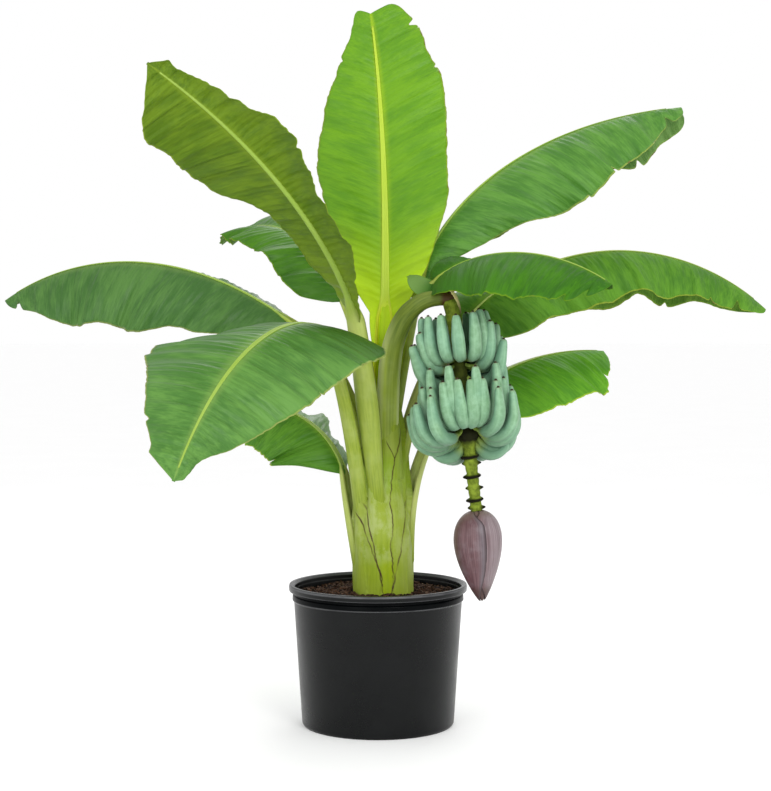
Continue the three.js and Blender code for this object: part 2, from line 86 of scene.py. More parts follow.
# Each leaf is a stalk and a blade along one midrib. Its numbers began as the frame's and were then
# fitted closer to the plant. Angles are in degrees, and stations run from 0 to 1 along the blade.
# seat: the stalk's foot, as an angle round the stem, a distance from its axis and a height.
# heading, drift: the stalk's compass angle, and how far the blade's turns on from it.
# rise: the midrib's slope at the seat, at the blade's foot and at its tip. lift: the blade's first
# slope, where it isn't the stalk's last. bend: how late the slope changes along the blade.
# roll, twist: turn about the midrib, and how much the blade adds to it by its tip.
# sweep, lobe: how far the veins lean forward, and how far back from that at the foot.
# left, right: the halves. fold, curl: slope across at the midrib, and what it gains by the margin.
# peak: station of the full width. foot, tip, blunt: how full the ends are. foot_fold: more fold at
# the foot, and the station where it has gone. trim: millimetres added to the width, evenly spaced.
# tail: how far the blade runs on down the stalk, and its two widths there.
# flap: length and width of the near end, folded back over the flower stalk.
# point: how steeply the tip closes in. rib, rib_lift: the midrib's share of its usual width, and
# how far it stands up. bulk: the stalk's share of its usual width.
# glow, foot, gloss: shares of a paler green on the stalk, partly its own colour and partly painted light where
# a stalk lies in shade, and of the foot's colour, and roughness.
# tint, base: what the blade's colours, and then the foot's colour, are multiplied by.
# sheath: half angle that the leaf's foot wraps round the stem at the soil, the height above the
# soil where it has drawn in to the stalk, its layer, counted outwards, and how late it draws in.
# ruffle: depth, length and phase of the margin's waves, left and right.
# tears: side, station, depth and half width of the notches that run in along the veins.
LEAVES = {
    "crown": dict(
        seat=(90, 0.004, 0.710), heading=85, drift=27, rise=(87, 78, 70), stalk=0.255, blade=0.815,
        bend=1.2, roll=-6, twist=-4, sweep=24, lobe=0,
        left=dict(width=0.165, fold=9, curl=-29, peak=0.4, foot=1.2, tip=1.0, blunt=0.1,
                  trim=(0, 0, 0, 2, 5, 9, 11, 2, -3, -10, 8)),
        right=dict(width=0.165, fold=18, curl=-17, peak=0.45, foot=1.8, tip=1.6, blunt=0.25,
                   trim=(0, 0, 2, 6, -4, -2, 8, 11, 3, 12, 6)),
        tail=(0.22, 0.040, 0.026), glow=1.0, bulk=1.6, rib=1.15, rib_lift=0.004,
        foot=0.8, tint=(0.77, 0.79, 0.9),
        sheath=(60, 0.45, 0, 1.5), ruffle=((0.006, 0.17, 0.0), (0.008, 0.13, 1.0)),
        tears=((-1, 0.9, 0.16, 0.008), (-1, 0.72, 0.05, 0.006), (1, 0.8, 0.05, 0.006)),
    ),
    "upper_left": dict(
        seat=(248, 0.044, 0.550), heading=223, drift=8, rise=(83, 78, 22), stalk=0.420, blade=0.852,
        bend=0.5, roll=2, twist=71, sweep=7, lobe=7,
        left=dict(width=0.125, fold=-3, curl=-47, peak=0.45, foot=2.8, tip=1.0, blunt=0.05,
                  trim=(0, -22, -12, -17, -43, -4, 14, -3, -11, -17, 20)),
        right=dict(width=0.150, fold=27, curl=-14, peak=0.6, foot=1.2, tip=2.4, blunt=0.0,
                   trim=(0, -4, -6, -18, -34, 22, 16, -2, 13, -5, 36)),
        glow=0.12, bulk=1.72, point=1.0, tint=(0.85, 0.87, 0.48),
        sheath=(110, 0.40, 3, 2.5), ruffle=((0.006, 0.19, 0.4), (0.008, 0.21, 2.0)),
        tears=((1, 0.55, 0.06, 0.005),),
    ),
    "rear_left": dict(
        seat=(135, 0.038, 0.700), heading=131, drift=3, rise=(85, 54, -23), stalk=0.340, blade=0.536,
        bend=1.3, roll=-6, twist=-5, sweep=11, lobe=11,
        left=dict(width=0.145, fold=4, curl=-31, peak=0.3, foot=2.6, tip=1.8, blunt=0.2,
                  trim=(0, 12, -10, -18, -13, -13, 10, 0, 0, 0, 0)),
        right=dict(width=0.128, fold=22, curl=-23, peak=0.4, foot=2.4, tip=2.2, blunt=0.15),
        bulk=1.2, tint=(0.58, 0.70, 0.1),
        sheath=(100, 0.40, 2, 1.5), ruffle=((0.014, 0.12, 0.6), (0.012, 0.15, 2.5)),
        tears=((1, 0.93, 0.5, 0.01), (1, 0.82, 0.22, 0.008), (-1, 0.9, 0.35, 0.01)),
    ),
    "long_left": dict(
        seat=(162, 0.045, 0.640), heading=170, drift=2, rise=(80, 35, -35), stalk=0.375, blade=0.795,
        bend=1.3, roll=-7, twist=-8, sweep=13, lobe=0,
        left=dict(width=0.175, fold=-29, curl=-48, peak=0.5, foot=2.2, tip=1.6, blunt=0.0,
                  trim=(0, 0, 9, -2, 26, 13, 2, 18, 8, -10, 0)),
        right=dict(width=0.165, fold=-20, curl=-45, peak=0.5, foot=2.2, tip=1.6, blunt=0.05,
                   foot_fold=(30, 0.75), trim=(0, 0, 5, -4, 20, 10, 8, 18, 8, -10, 0)),
        rib=0.62, tint=(0.74, 0.68, 1.9),
        sheath=(104, 0.31, 4, 1.5), ruffle=((0.014, 0.17, 0.3), (0.012, 0.20, 1.3)),
        tears=((1, 0.955, 0.5, 0.008), (-1, 0.6, 0.08, 0.006)),
    ),
    "front_left": dict(
        seat=(196, 0.052, 0.500), heading=237, drift=13, rise=(78, 59, -50), stalk=0.475, blade=0.738,
        bend=0.3, roll=-1, twist=-42, sweep=4, lobe=30,
        left=dict(width=0.225, fold=-2, curl=-24, peak=0.25, foot=3.2, tip=1.0, blunt=0.0,
                  trim=(-16, 8, -2, -6, -2, 8, 2, -3, -14, -30, 0)),
        right=dict(width=0.200, fold=-4, curl=-27, peak=0.5, foot=2.2, tip=1.0, blunt=0.05,
                   trim=(0, 0, 0, -4, 30, 31, 3, -8, -6, -11, 40)),
        point=1.25, rib=0.78, foot=1.0, base=(0.55, 0.70, 0.2), tint=(1.02, 0.92, 2.3),
        sheath=(68, 0.26, 5, 1.5), ruffle=((0.007, 0.18, 0.2), (0.006, 0.20, 1.7)),
        tears=((1, 0.42, 0.06, 0.006), (-1, 0.8, 0.08, 0.008)),
    ),
    "low_left": dict(
        seat=(176, 0.058, 0.390), heading=163, drift=-9, rise=(78, 82, 1), stalk=0.215, blade=0.310,
        bend=0.75, roll=-11, twist=-4, sweep=15, lobe=0,
        left=dict(width=0.135, fold=-27, curl=-47, peak=0.5, foot=2.2, tip=2.4, blunt=0.1,
                  trim=(10, 20, 40, 24, 15, 6, -4, -2, 6, 26, 0)),
        right=dict(width=0.106, fold=-5, curl=-26, peak=0.4, foot=2.4, tip=2.2, blunt=0.1),
        glow=0.4, tint=(1.2, 1.15, 1.2),
        sheath=(94, 0.22, 7, 1.5), ruffle=((0.012, 0.14, 0.8), (0.010, 0.12, 2.1)),
        tears=((1, 0.35, 0.12, 0.008),),
    ),
    "upper_right": dict(
        seat=(55, 0.034, 0.720), heading=26, drift=-24, rise=(79, 75.4, 5.4), stalk=0.385, blade=0.826,
        bend=0.6, roll=-1, twist=-3, sweep=16, lobe=6,
        left=dict(width=0.160, fold=-35, curl=-51, peak=0.5, foot=2.0, tip=2.2, blunt=0.1,
                  trim=(0, 24, 36, 24, 4, 20, 24, -8, 24, 0, 14)),
        right=dict(width=0.150, fold=-27, curl=-49, peak=0.45, foot=1.4, tip=2.2, blunt=0.05,
                   trim=(0, 24, 36, 66, 72, 62, 44, 26, 20, -12, 0)),
        tail=(0.20, 0.045, 0.040), rib=0.66, foot=0.1, tint=(1.04, 1.0, 2.0),
        sheath=(96, 0.40, 1, 1.5), ruffle=((0.016, 0.16, 0.5), (0.014, 0.15, 1.9)),
        tears=((-1, 0.62, 0.1, 0.006), (-1, 0.93, 0.45, 0.01), (1, 0.8, 0.15, 0.008)),
    ),
    "front_right": dict(
        seat=(318, 0.026, 0.720), heading=345, drift=-25, rise=(98, 34, -31), stalk=0.385, blade=0.474,
        lift=57.5, bend=0.5, roll=5, twist=13, sweep=6, lobe=36,
        left=dict(width=0.120, fold=-28, curl=-46, peak=0.4, foot=2.6, tip=1.8, blunt=0.05,
                  foot_fold=(92, 0.34), trim=(0, 34, 16, 0, -9, -12, -8, -2, 0, 0, 0)),
        right=dict(width=0.185, fold=-2, curl=-33, peak=0.5, foot=2.4, tip=1.8, blunt=0.05,
                   trim=(12, 32, 28, 44, 40, 18, 6, 0, 0, 0, 0)),
        flap=(0.064, 0.062), rib=0.7, gloss=0.6, tint=(0.43, 0.64, 0.0),
        sheath=(84, 0.38, 2, 1.5), ruffle=((0.007, 0.16, 1.1), (0.006, 0.16, 0.0)),
        tears=((-1, 0.93, 0.4, 0.012), (-1, 0.85, 0.2, 0.01)),
    ),
    "long_right": dict(
        seat=(30, 0.046, 0.635), heading=28, drift=-24, rise=(77, 43, -42), stalk=0.375, blade=0.925,
        bend=1.1, roll=-1, twist=-3, sweep=10, lobe=24,
        left=dict(width=0.150, fold=-31, curl=-54, peak=0.4, foot=2.4, tip=1.6, blunt=0.0,
                  foot_fold=(100, 0.30), trim=(0, 40, 64, 30, 24, 36, -10, 26, -3, 5, 0)),
        right=dict(width=0.165, fold=-28, curl=-50, peak=0.4, foot=2.6, tip=1.0, blunt=0.1,
                   trim=(0, 18, -4, 8, 8, -6, 22, 10, 14, 14, -6)),
        tail=(0.15, 0.060, 0.050), rib=0.66, gloss=0.62, glow=1.0, foot=0.15, tint=(0.98, 0.97, 0.9),
        sheath=(102, 0.42, 6, 6.0), ruffle=((0.014, 0.18, 0.9), (0.016, 0.19, 2.6)),
        tears=((-1, 0.9, 0.4, 0.008), (-1, 0.8, 0.12, 0.006), (1, 0.7, 0.1, 0.006)),
    ),
    "low_right": dict(
        seat=(15, 0.056, 0.395), heading=38, drift=-8, rise=(89, 30, -4), stalk=0.450, blade=0.478,
        bend=1.05, roll=3, twist=-4, sweep=13, lobe=21,
        left=dict(width=0.135, fold=-10, curl=-40, peak=0.4, foot=2.4, tip=1.6, blunt=0.03,
                  foot_fold=(14, 0.5)),
        right=dict(width=0.170, fold=-15, curl=-40, peak=0.45, foot=2.8, tip=3.2, blunt=0.15,
                   trim=(0, 24, 24, 12, 8, 10, 19, 12, -24, -38, -34)),
        gloss=0.66, glow=0.7, tint=(1.35, 1.4, 1.0),
        sheath=(86, 0.25, 8, 1.5), ruffle=((0.008, 0.13, 0.2), (0.009, 0.14, 1.4)),
        tears=((-1, 0.62, 0.22, 0.012), (-1, 0.80, 0.18, 0.01), (1, 0.93, 0.6, 0.016)),
    ),
}

# How waxy and how bright a green each leaf's sheath is, where it isn't the usual.
SHEATH_LOOKS = {
    "upper_left": (1.0, 1.0), "low_left": (0.8, 0.35), "long_right": (0.6, 0.55),
    "low_right": (0.9, 0.25), "front_left": (0.7, 0.25),
}
USUAL_SHEATH_LOOKS = (0.5, 0.25)

# The flower stalk's route out of the stem and over its crest, and its half widths by station.
ARCH_ROUTE = np.array([
    (0.021, -0.004, 0.620), (0.028, -0.040, 0.860), (0.053, -0.080, 0.962),
    (0.094, -0.114, 1.011), (0.141, -0.120, 1.025), (0.185, -0.120, 1.021),
])
ARCH_WIDTHS = np.array([
    (0.0, 0.027), (0.2, 0.0265), (0.35, 0.0245), (0.55, 0.0215), (0.75, 0.0185), (0.94, 0.0175), (1.0, 0.008),
])
# The ends of the hanging stalk, at the top of the bunch and at the bud.
BUNCH_TOP = np.array([0.175, -0.120, 1.008])
BUD_NECK = np.array([0.231, -0.120, 0.528])
# Where fallen bracts have left their scars on the hanging stalk, as stations along it.
SCARS = (0.735, 0.768, 0.830, 0.888, 0.945, 0.985)
# The dry bract's route, over the top of the bunch.
DRY_BRACT_ROUTE = np.array([
    (0.150, -0.168, 1.034), (0.160, -0.171, 1.038), (0.171, -0.170, 1.029), (0.183, -0.162, 1.010),
    (0.192, -0.150, 0.990),
])

# Rows of fruit, from the top. at: station on the hanging stalk. arc: first and last angle from the
# front. slope: at the stalk in front, and how far it falls towards the back. tip: slope at the tip.
# bend: the stretch of the fruit where it turns from the one slope to the other.
FRUIT_ROWS = [
    dict(hand=1, at=0.258, arc=(-13, 347), count=12, slope=(-10, 12), tip=94, bend=(0.04, 0.56), length=0.149),
    dict(hand=2, at=0.288, arc=(54, 300), count=10, slope=(-16, 22), tip=84, bend=(0.0, 0.60), length=0.146),
    dict(hand=2, at=0.350, arc=(60, 292), count=10, slope=(-26, 26), tip=82, bend=(0.0, 0.66), length=0.160),
    dict(hand=3, at=0.515, arc=(0, 360), count=10, slope=(-12, 12), tip=91, bend=(0.08, 0.62), length=0.172),
    dict(hand=3, at=0.556, arc=(0, 360), count=20, slope=(-8, 46), tip=86, bend=(0.13, 0.68), length=0.164),
    dict(hand=4, at=0.592, arc=(30, 330), count=17, slope=(-14, 78), tip=89, bend=(0.10, 0.84), length=0.192),
    dict(hand=4, at=0.620, arc=(96, 264), count=8, slope=(-80, 8), tip=90, bend=(0.0, 0.84), length=0.182),
]
FRUIT_THICKNESS = 0.0312
# How much darker each hand's fruits are towards their stalks.
UNDER_SHADE = (0.3, 0.5, 0.45, 0.95)

BUD_LENGTH = 0.212
# The bud's bracts: middle and half width as angles, last station, and how far out each one lies.
BRACTS = ((3.1, 1.5, 0.985, 0.0006), (4.95, 1.75, 0.99, 0.0012), (1.2, 1.5, 1.0, 0.0022))

# ---------------------------------------- vectors and curves


def lerp(a, b, t):
    return a + (b - a) * t


def smooth(t):
    t = np.clip(t, 0.0, 1.0)
    return t * t * (3 - 2 * t)


def between(t, start, ease_in, end, ease_out):
    """1 from start to end and 0 outside, eased at both ends."""
    return smooth((t - start) / ease_in) * smooth((end - t) / ease_out)


def bell(t, spread):
    return np.exp(-((t / spread) ** 2))


def circle(sides):
    return np.linspace(0, 2 * math.pi, sides, endpoint=False)


def there_and_back(row):
    return np.concatenate([row, row[::-1]])


def wrapped(angle):
    return (angle + math.pi) % (2 * math.pi) - math.pi


def smooth_max(a, b, softness):
    return (a + b + np.sqrt((a - b) ** 2 + softness**2)) / 2


def unit(v):
    return v / np.linalg.norm(v, axis=-1, keepdims=True)


def waves(t, seed):
    """A smooth random wave over t, about 1 long and within about 1 either way."""
    rng = random.Random(seed)
    total, size = np.zeros_like(t), 1.0
    for octave in range(4):
        for _ in range(2):
            rate = 2 * math.pi * 2**octave * rng.uniform(0.6, 1.2)
            total = total + size * np.sin(rate * t + rng.uniform(0, 2 * math.pi))
        size *= 0.55
    return total / 3.2


def directions(rise, heading):
    """Unit vectors from slopes and compass angles in degrees, and the level vectors to their left."""
    e, h = np.radians(rise), np.radians(heading)
    along = np.stack([np.cos(e) * np.cos(h), np.cos(e) * np.sin(h), np.sin(e)], -1)
    left = np.stack([-np.sin(h), np.cos(h), np.zeros_like(h)], -1)
    return along, left


def rolled(along, left, roll):
    """left, and the upward vector, turned about along by an angle in degrees."""
    up = np.cross(along, left)
    c, s = np.cos(np.radians(roll))[:, None], np.sin(np.radians(roll))[:, None]
    return left * c + up * s, up * c - left * s


def walk(start, along, length):
    """Points from start, each a step of length / count further in one of the given directions."""
    steps = along * (length / len(along))
    return np.vstack([start, start + np.cumsum(steps, 0)])


def run_frames(leaf, start, length, steps, slopes, bend, drift=0.0, twist=0.0):
    """Stations, points, and along, left and up vectors of a stalk or of a blade's midrib."""
    s = np.linspace(0, 1, steps + 1)
    middle = (s[1:] + s[:-1]) / 2

    def way(t):
        return directions(lerp(*slopes, t**bend), leaf["heading"] + drift * t)

    along, left = way(s)
    left, up = rolled(along, left, leaf["roll"] + twist * s)
    return dict(s=s, points=walk(start, way(middle)[0], length), along=along, left=left, up=up)


def stalk_frames(leaf, steps):
    """The frames of a leaf's stalk, from its seat to its blade."""
    angle, reach, height = leaf["seat"]
    turn = math.radians(angle)
    seat = STEM_AXIS + (reach * math.cos(turn), reach * math.sin(turn), height)
    return run_frames(leaf, seat, leaf["stalk"], steps, leaf["rise"][:2], 1.5)


def blade_frames(leaf, steps):
    """The frames of a blade's midrib, from the end of its stalk."""
    foot = stalk_frames(leaf, 14)["points"][-1]
    slopes = (leaf.get("lift", leaf["rise"][1]), leaf["rise"][2])
    return run_frames(leaf, foot, leaf["blade"], steps, slopes, leaf["bend"], leaf["drift"], leaf["twist"])


def leaf_frames(leaf, step):
    """The blade's frames, led in by those of the last part of the stalk where the blade runs on down it."""
    frames = blade_frames(leaf, int(round(leaf["blade"] / step)))
    if "flap" in leaf:
        return led_by_flap(leaf, frames, step)
    if "tail" not in leaf:
        return frames
    stalk = stalk_frames(leaf, int(round(leaf["stalk"] / step)))
    rows = int(round(leaf["tail"][0] / step))
    led = {key: np.concatenate([stalk[key][-rows - 1:-1], frames[key]]) for key in frames}
    led["s"][:rows] = -np.arange(rows, 0, -1) * step / leaf["blade"]
    return led


def led_by_flap(leaf, frames, step):
    """The blade's frames, led in by level ones that reach back over the foot."""
    rows = int(round(leaf["flap"][0] / step))
    back = np.arange(rows, 0, -1)[:, None] * step
    share = smooth(back / 0.05)
    level = unit(frames["along"][0] * (1, 1, 0))
    points = frames["points"][0] - level * back + share * (0, 0, 0.013)
    along = unit(lerp(frames["along"][0], level, share))
    left = np.repeat(frames["left"][:1], rows, 0)
    s = -back[:, 0] / leaf["blade"]
    lead = dict(s=s, points=points, along=along, left=left, up=np.cross(along, left))
    return {key: np.concatenate([lead[key], frames[key]]) for key in frames}


def catmull(points, count):
    """A smooth curve through points, as count points."""
    padded = np.vstack([2 * points[0] - points[1], points, 2 * points[-1] - points[-2]])
    t = np.linspace(0, len(points) - 1, count)
    k = np.minimum(t.astype(int), len(points) - 2)
    f = (t - k)[:, None]
    p0, p1, p2, p3 = (padded[k + i] for i in range(4))
    return 0.5 * (2 * p1 + (p2 - p0) * f + (2 * p0 - 5 * p1 + 4 * p2 - p3) * f**2
                  + (3 * p1 - p0 - 3 * p2 + p3) * f**3)


def tube_frames(points, side):
    """left and up vectors of a curve, with left kept near a given direction."""
    along = unit(np.gradient(points, axis=0))
    left = unit(side - along * (along @ side)[:, None])
    return left, np.cross(along, left)


def round_rings(points, radius, side, sides):
    """Rings round a curve. radius is per point, or per point and side."""
    left, up = tube_frames(points, side)
    angle = circle(sides)
    radius = radius.reshape(len(points), -1)
    return (points[:, None] + (radius * np.cos(angle))[..., None] * left[:, None]
            + (radius * np.sin(angle))[..., None] * up[:, None])


# ---------------------------------------- meshes


def lattice(rows, columns):
    """Faces over rings of points, and each corner's row and column, which counts on past the seam."""
    r, c = np.meshgrid(np.arange(rows - 1), np.arange(columns), indexing="ij")
    row = np.stack([r, r, r + 1, r + 1], -1).reshape(-1, 4)
    column = np.stack([c, c + 1, c + 1, c], -1).reshape(-1, 4)
    return row * columns + column % columns, row, column


class Shape:
    """Points and faces gathered for one piece, with a material and maps for each face."""

    def __init__(self):
        self.points, self.faces, self.kinds = [], [], []
        self.place, self.bake, self.marks = [], [], []
        self.count = 0

    def add(self, points, faces, kinds, place, bake, marks=None):
        """place and bake hold a pair of numbers per corner of a face, and marks four per point."""
        points = np.asarray(points).reshape(-1, 3)
        self.points.append(points)
        self.faces.extend((np.asarray(faces) + self.count).tolist())
        self.kinds.append(np.broadcast_to(kinds, len(faces)))
        self.place.append(place.reshape(-1, 2))
        self.bake.append(bake.reshape(-1, 2))
        self.marks.append(np.zeros((len(points), 4)) if marks is None else marks.reshape(-1, 4))
        self.count += len(points)

    def ring_skin(self, rings, kinds=0, u=None, v=None, cell=(0, 0, 1, 1), marks=None):
        """A closed skin over rings of points. u is per ring and v per point and once round."""
        rows, columns = rings.shape[:2]
        faces, row, column = lattice(rows, columns)
        u = np.linspace(0, 1, rows) if u is None else u
        v = np.linspace(0, 1, columns + 1) if v is None else v
        place = np.stack([u[row], v[column]], -1)
        x0, y0, x1, y1 = cell
        bake = np.stack([lerp(x0, x1, row / (rows - 1)), lerp(y0, y1, column / columns)], -1)
        kinds = np.broadcast_to(kinds, (rows - 1, columns)).reshape(-1)
        self.add(rings, faces[:, ::-1], kinds, place[:, ::-1], bake[:, ::-1], marks)
        self.cap(rows, columns, u, v, cell, kinds[0], kinds[-1])

    def cap(self, rows, columns, u, v, cell, first_kind, last_kind):
        """Ladders of faces over the first and the last of the rings just added."""
        start = self.count - rows * columns
        k = np.arange(columns // 2 - 1)
        ladder = np.stack([k, k + 1, columns - 2 - k, columns - 1 - k], -1)
        for r, faces, kind in ((0, ladder, first_kind), (rows - 1, ladder[:, ::-1], last_kind)):
            self.faces.extend((faces + start + r * columns).tolist())
            self.kinds.append(np.full(len(faces), kind))
            self.place.append(np.stack([np.full(faces.shape, u[r]), v[faces]], -1).reshape(-1, 2))
            x = cell[0] if r == 0 else cell[2]
            y = lerp(cell[1], cell[3], faces / columns)
            self.bake.append(np.stack([np.full(faces.shape, x), y], -1).reshape(-1, 2))

    def piece(self, name, materials, nodes, smoothed=True):
        """Makes the object, which rides on the plant and stands for CAD nodes."""
        thing = self.thing(name, materials, smoothed)
        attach(thing, BODY)
        if nodes:
            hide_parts(*nodes)

    def thing(self, name, materials, smoothed=True):
        """The object itself, with its maps Place and OFBake and its attribute Marks."""
        mesh = bpy.data.meshes.new(name)
        mesh.from_pydata(np.vstack(self.points).tolist(), [], self.faces)
        for material in materials:
            mesh.materials.append(material)
        mesh.polygons.foreach_set("material_index", np.concatenate(self.kinds).astype(np.int32))
        mesh.polygons.foreach_set("use_smooth", np.full(len(mesh.polygons), smoothed))
        for label, rows in (("Place", self.place), ("OFBake", self.bake)):
            layer = mesh.uv_layers.new(name=label)
            layer.uv.foreach_set("vector", np.vstack(rows).astype(np.float32).ravel())
        marks = np.vstack(self.marks)
        if marks.any():
            layer = mesh.color_attributes.new("Marks", "FLOAT_COLOR", "POINT")
            layer.data.foreach_set("color", marks.astype(np.float32).ravel())
        mesh.validate()
        thing = bpy.data.objects.new(name, mesh)
        bpy.context.scene.collection.objects.link(thing)
        return thing


def ring_piece(name, materials, slot, nodes, rings, **maps):
    """A piece that is one closed skin over rings of points."""
    shape = Shape()
    shape.ring_skin(rings, **maps)
    shape.piece(name, materials, nodes)


def marked(rows, sides, *channels):
    """Marks for rings of points, from up to four numbers for each."""
    marks = np.zeros((rows, sides, 4))
    for channel, value in enumerate(channels):
        marks[..., channel] = value
    return marks


def nodes_of(prefix):
    """The frame's nodes whose names start with the prefix."""
    return [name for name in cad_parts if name.startswith(prefix)]


# ---------------------------------------- materials


class Finish:
    """A procedural material on a Principled shader."""

    def __init__(self, name, roughness, **settings):
        self.material = bpy.data.materials.new(name)
        self.material.use_nodes = True
        self.tree = self.material.node_tree
        self.shader = self.tree.nodes["Principled BSDF"]
        self.shader.inputs["Roughness"].default_value = roughness
        for label, value in settings.items():
            self.shader.inputs[label.replace("_", " ").title().replace("Ior", "IOR")].default_value = value

    def plug(self, socket, value):
        if isinstance(value, bpy.types.NodeSocket):
            self.tree.links.new(value, socket)
        else:
            socket.default_value = value

    def node(self, kind, output=0, sockets=(), **settings):
        made = self.tree.nodes.new("ShaderNode" + kind)
        for label, value in settings.items():
            setattr(made, label, value)
        for key, value in dict(sockets).items():
            self.plug(made.inputs[key], value)
        return made.outputs[output]

    def maths(self, operation, a, b=0.0):
        return self.node("Math", sockets={0: a, 1: b}, operation=operation)

    def times(self, a, b):
        return self.maths("MULTIPLY", a, b)

    def mix(self, share, a, b):
        return self.node("Mix", 2, {0: share, 6: a, 7: b}, data_type="RGBA")

    def band(self, value, low, high, to_low=0.0, to_high=1.0):
        """value mapped from low...high to to_low...to_high, smoothly and clamped."""
        return self.node("MapRange", 0, {0: value, 1: low, 2: high, 3: to_low, 4: to_high},
                         interpolation_type="SMOOTHSTEP")

    def place(self):
        """The two numbers of the Place map."""
        split = self.tree.nodes.new("ShaderNodeSeparateXYZ")
        self.plug(split.inputs[0], self.node("UVMap", uv_map="Place"))
        return split.outputs[0], split.outputs[1]

    def mark(self, channel):
        """One of the four numbers of the attribute Marks."""
        found = self.tree.nodes.new("ShaderNodeAttribute")
        found.attribute_name = "Marks"
        if channel == 3:
            return found.outputs["Alpha"]
        split = self.tree.nodes.new("ShaderNodeSeparateColor")
        self.plug(split.inputs[0], found.outputs["Color"])
        return split.outputs[channel]

    def local(self, scale, detail=3.0, rough=0.55):
        """Clouds over the object's own coordinates."""
        return self.clouds(self.node("TexCoord", 3), scale, detail, rough)

    def clouds(self, vector, scale, detail, rough):
        sockets = {"Vector": vector, "Scale": scale, "Detail": detail, "Roughness": rough}
        return self.node("TexNoise", 0, sockets)

    def streaks(self, x, y, rates, seed, scale, detail=3.0, rough=0.55):
        """Clouds over two numbers, drawn out along the one with the lower rate."""
        x, y = (self.times(value, rate) for value, rate in zip((x, y), rates))
        return self.clouds(self.node("CombineXYZ", sockets={0: x, 1: y, 2: seed}), scale, detail, rough)

    def colour(self, base, *coats):
        """The base colour, with coats over it in turn, each a share and a colour."""
        for share, tone in coats:
            base = self.mix(share, base, tone)
        self.plug(self.shader.inputs["Base Color"], base)

    def rough(self, value):
        self.plug(self.shader.inputs["Roughness"], value)

    def relief(self, height, depth):
        bump = self.node("Bump", sockets={"Height": height, "Distance": depth, "Strength": 1.0})
        self.plug(self.shader.inputs["Normal"], bump)


def rgb(red, green, blue):
    return (red, green, blue, 1.0)


def tinted(colour, tint):
    return rgb(*(part * share for part, share in zip(colour, tint)))


# Colours of a leaf's surface: light, dark, near the midrib, at the margin, and at its foot. The mature leaves'
# darker foot is painted shade near the stalk; the crown's yellow foot is partly its young colour and partly
# painted light.
MATURE = (
    (0.098, 0.262, 0.018), (0.050, 0.168, 0.010), (0.20, 0.36, 0.03),
    (0.24, 0.34, 0.03), (0.034, 0.120, 0.005),
)
MATURE_UNDER = (
    (0.145, 0.285, 0.035), (0.085, 0.205, 0.020), (0.22, 0.36, 0.04),
    (0.24, 0.34, 0.03), (0.10, 0.21, 0.02),
)
YOUNG = (
    (0.180, 0.410, 0.008), (0.120, 0.320, 0.008), (0.50, 0.68, 0.012),
    (0.28, 0.40, 0.02), (0.66, 0.92, 0.008),
)
OLIVE_UNDER = (
    (0.140, 0.235, 0.012), (0.085, 0.165, 0.007), (0.25, 0.35, 0.03),
    (0.24, 0.33, 0.03), (0.27, 0.39, 0.03),
)
# Both sides of the leaves that differ from the usual.
BLADE_COLOURS = {"crown": (YOUNG, YOUNG), "upper_left": (MATURE, OLIVE_UNDER)}

# The sheaths' two greens, which each stalk shares at its seat, and those of the flower stalk's shade.
SHEATH_GREENS = (rgb(0.165, 0.240, 0.009), rgb(0.255, 0.330, 0.022))
ARCH_GREENS = (rgb(0.060, 0.100, 0.010), rgb(0.120, 0.165, 0.022))


def blade_finish(name, colours, leaf, gloss, seed):
    """A leaf surface, streaked along its veins. Place holds metres along the midrib and -1 to 1 across."""
    light, dark, rib, margin, base = (tinted(colour, leaf["tint"]) for colour in colours)
    f = Finish(name, gloss, specular_ior_level=0.22)
    along, across = f.place()
    reach = f.maths("ABSOLUTE", across)
    fine = f.streaks(along, across, (1.0, 0.02), seed, 260, 2.0, 0.6)
    broad = f.streaks(along, across, (1.0, 0.06), seed + 3.0, 30, 2.0, 0.5)
    shade = f.maths("ADD", f.times(fine, 0.3), f.times(broad, 0.4))
    shade = f.maths("ADD", shade, f.times(f.local(5, 2.0, 0.5), 0.3))
    nicks = f.band(f.local(26, 2.0), 0.62, 0.7, 0.0, 0.8)
    ear = [(f.band(along, 0.0, -0.03, 0.0, 0.8), rgb(0.150, 0.270, 0.060))] if "flap" in leaf else []
    # The foot's colour: painted shade near the stalk on the mature leaves, and on the crown partly its young
    # yellow-green and partly painted light.
    foot = f.band(along, 0.27, -0.01, 0.0, leaf.get("foot", USUAL_FOOT))
    f.colour(
        f.mix(f.band(shade, 0.40, 0.60), dark, light),
        (foot, tinted(base, leaf.get("base", (1, 1, 1)))),
        *ear,
        (f.band(reach, 0.14, 0.0, 0.0, 0.5), rib),
        (f.band(reach, 0.972, 0.99), f.mix(nicks, margin, rgb(0.16, 0.09, 0.025))),
    )
    f.rough(f.band(broad, 0.3, 0.7, gloss - 0.06, gloss + 0.1))
    f.relief(f.maths("ADD", f.times(fine, 0.4), broad), 0.0022)
    return f.material


def limb_finish(name, shade, glow):
    """Stalks and midribs. Marks: the dry edge, which on leaf stalks is partly a brown margin and partly
    painted shade in the crevices between them; the rib's share; the share of glow, a paler green that on some
    leaf stalks is partly painted light; and the share of the second green, the sheath's at a stalk's seat and
    painted shade in the flower stalk's channel.
    """
    f = Finish(name, 0.44, specular_ior_level=0.2)
    along, across = f.place()
    fibres = f.streaks(across, along, (9.0, 3.0), 1.0, 5.0, 4.0)
    f.colour(
        f.mix(f.band(fibres, 0.2, 0.8), rgb(0.215, 0.300, 0.026), rgb(0.325, 0.405, 0.050)),
        (f.band(f.local(11, 4.0, 0.6), 0.4, 0.7, 0.0, 0.6), rgb(0.41, 0.48, 0.15)),
        (f.times(f.mark(3), 0.9), f.mix(f.band(fibres, 0.3, 0.7), *shade)),
        (f.mark(1), rgb(0.29, 0.46, 0.07)),
        (f.mark(2), glow),
        (f.mark(0), rgb(0.07, 0.028, 0.010)),
    )
    f.relief(fibres, 0.0006)
    return f.material


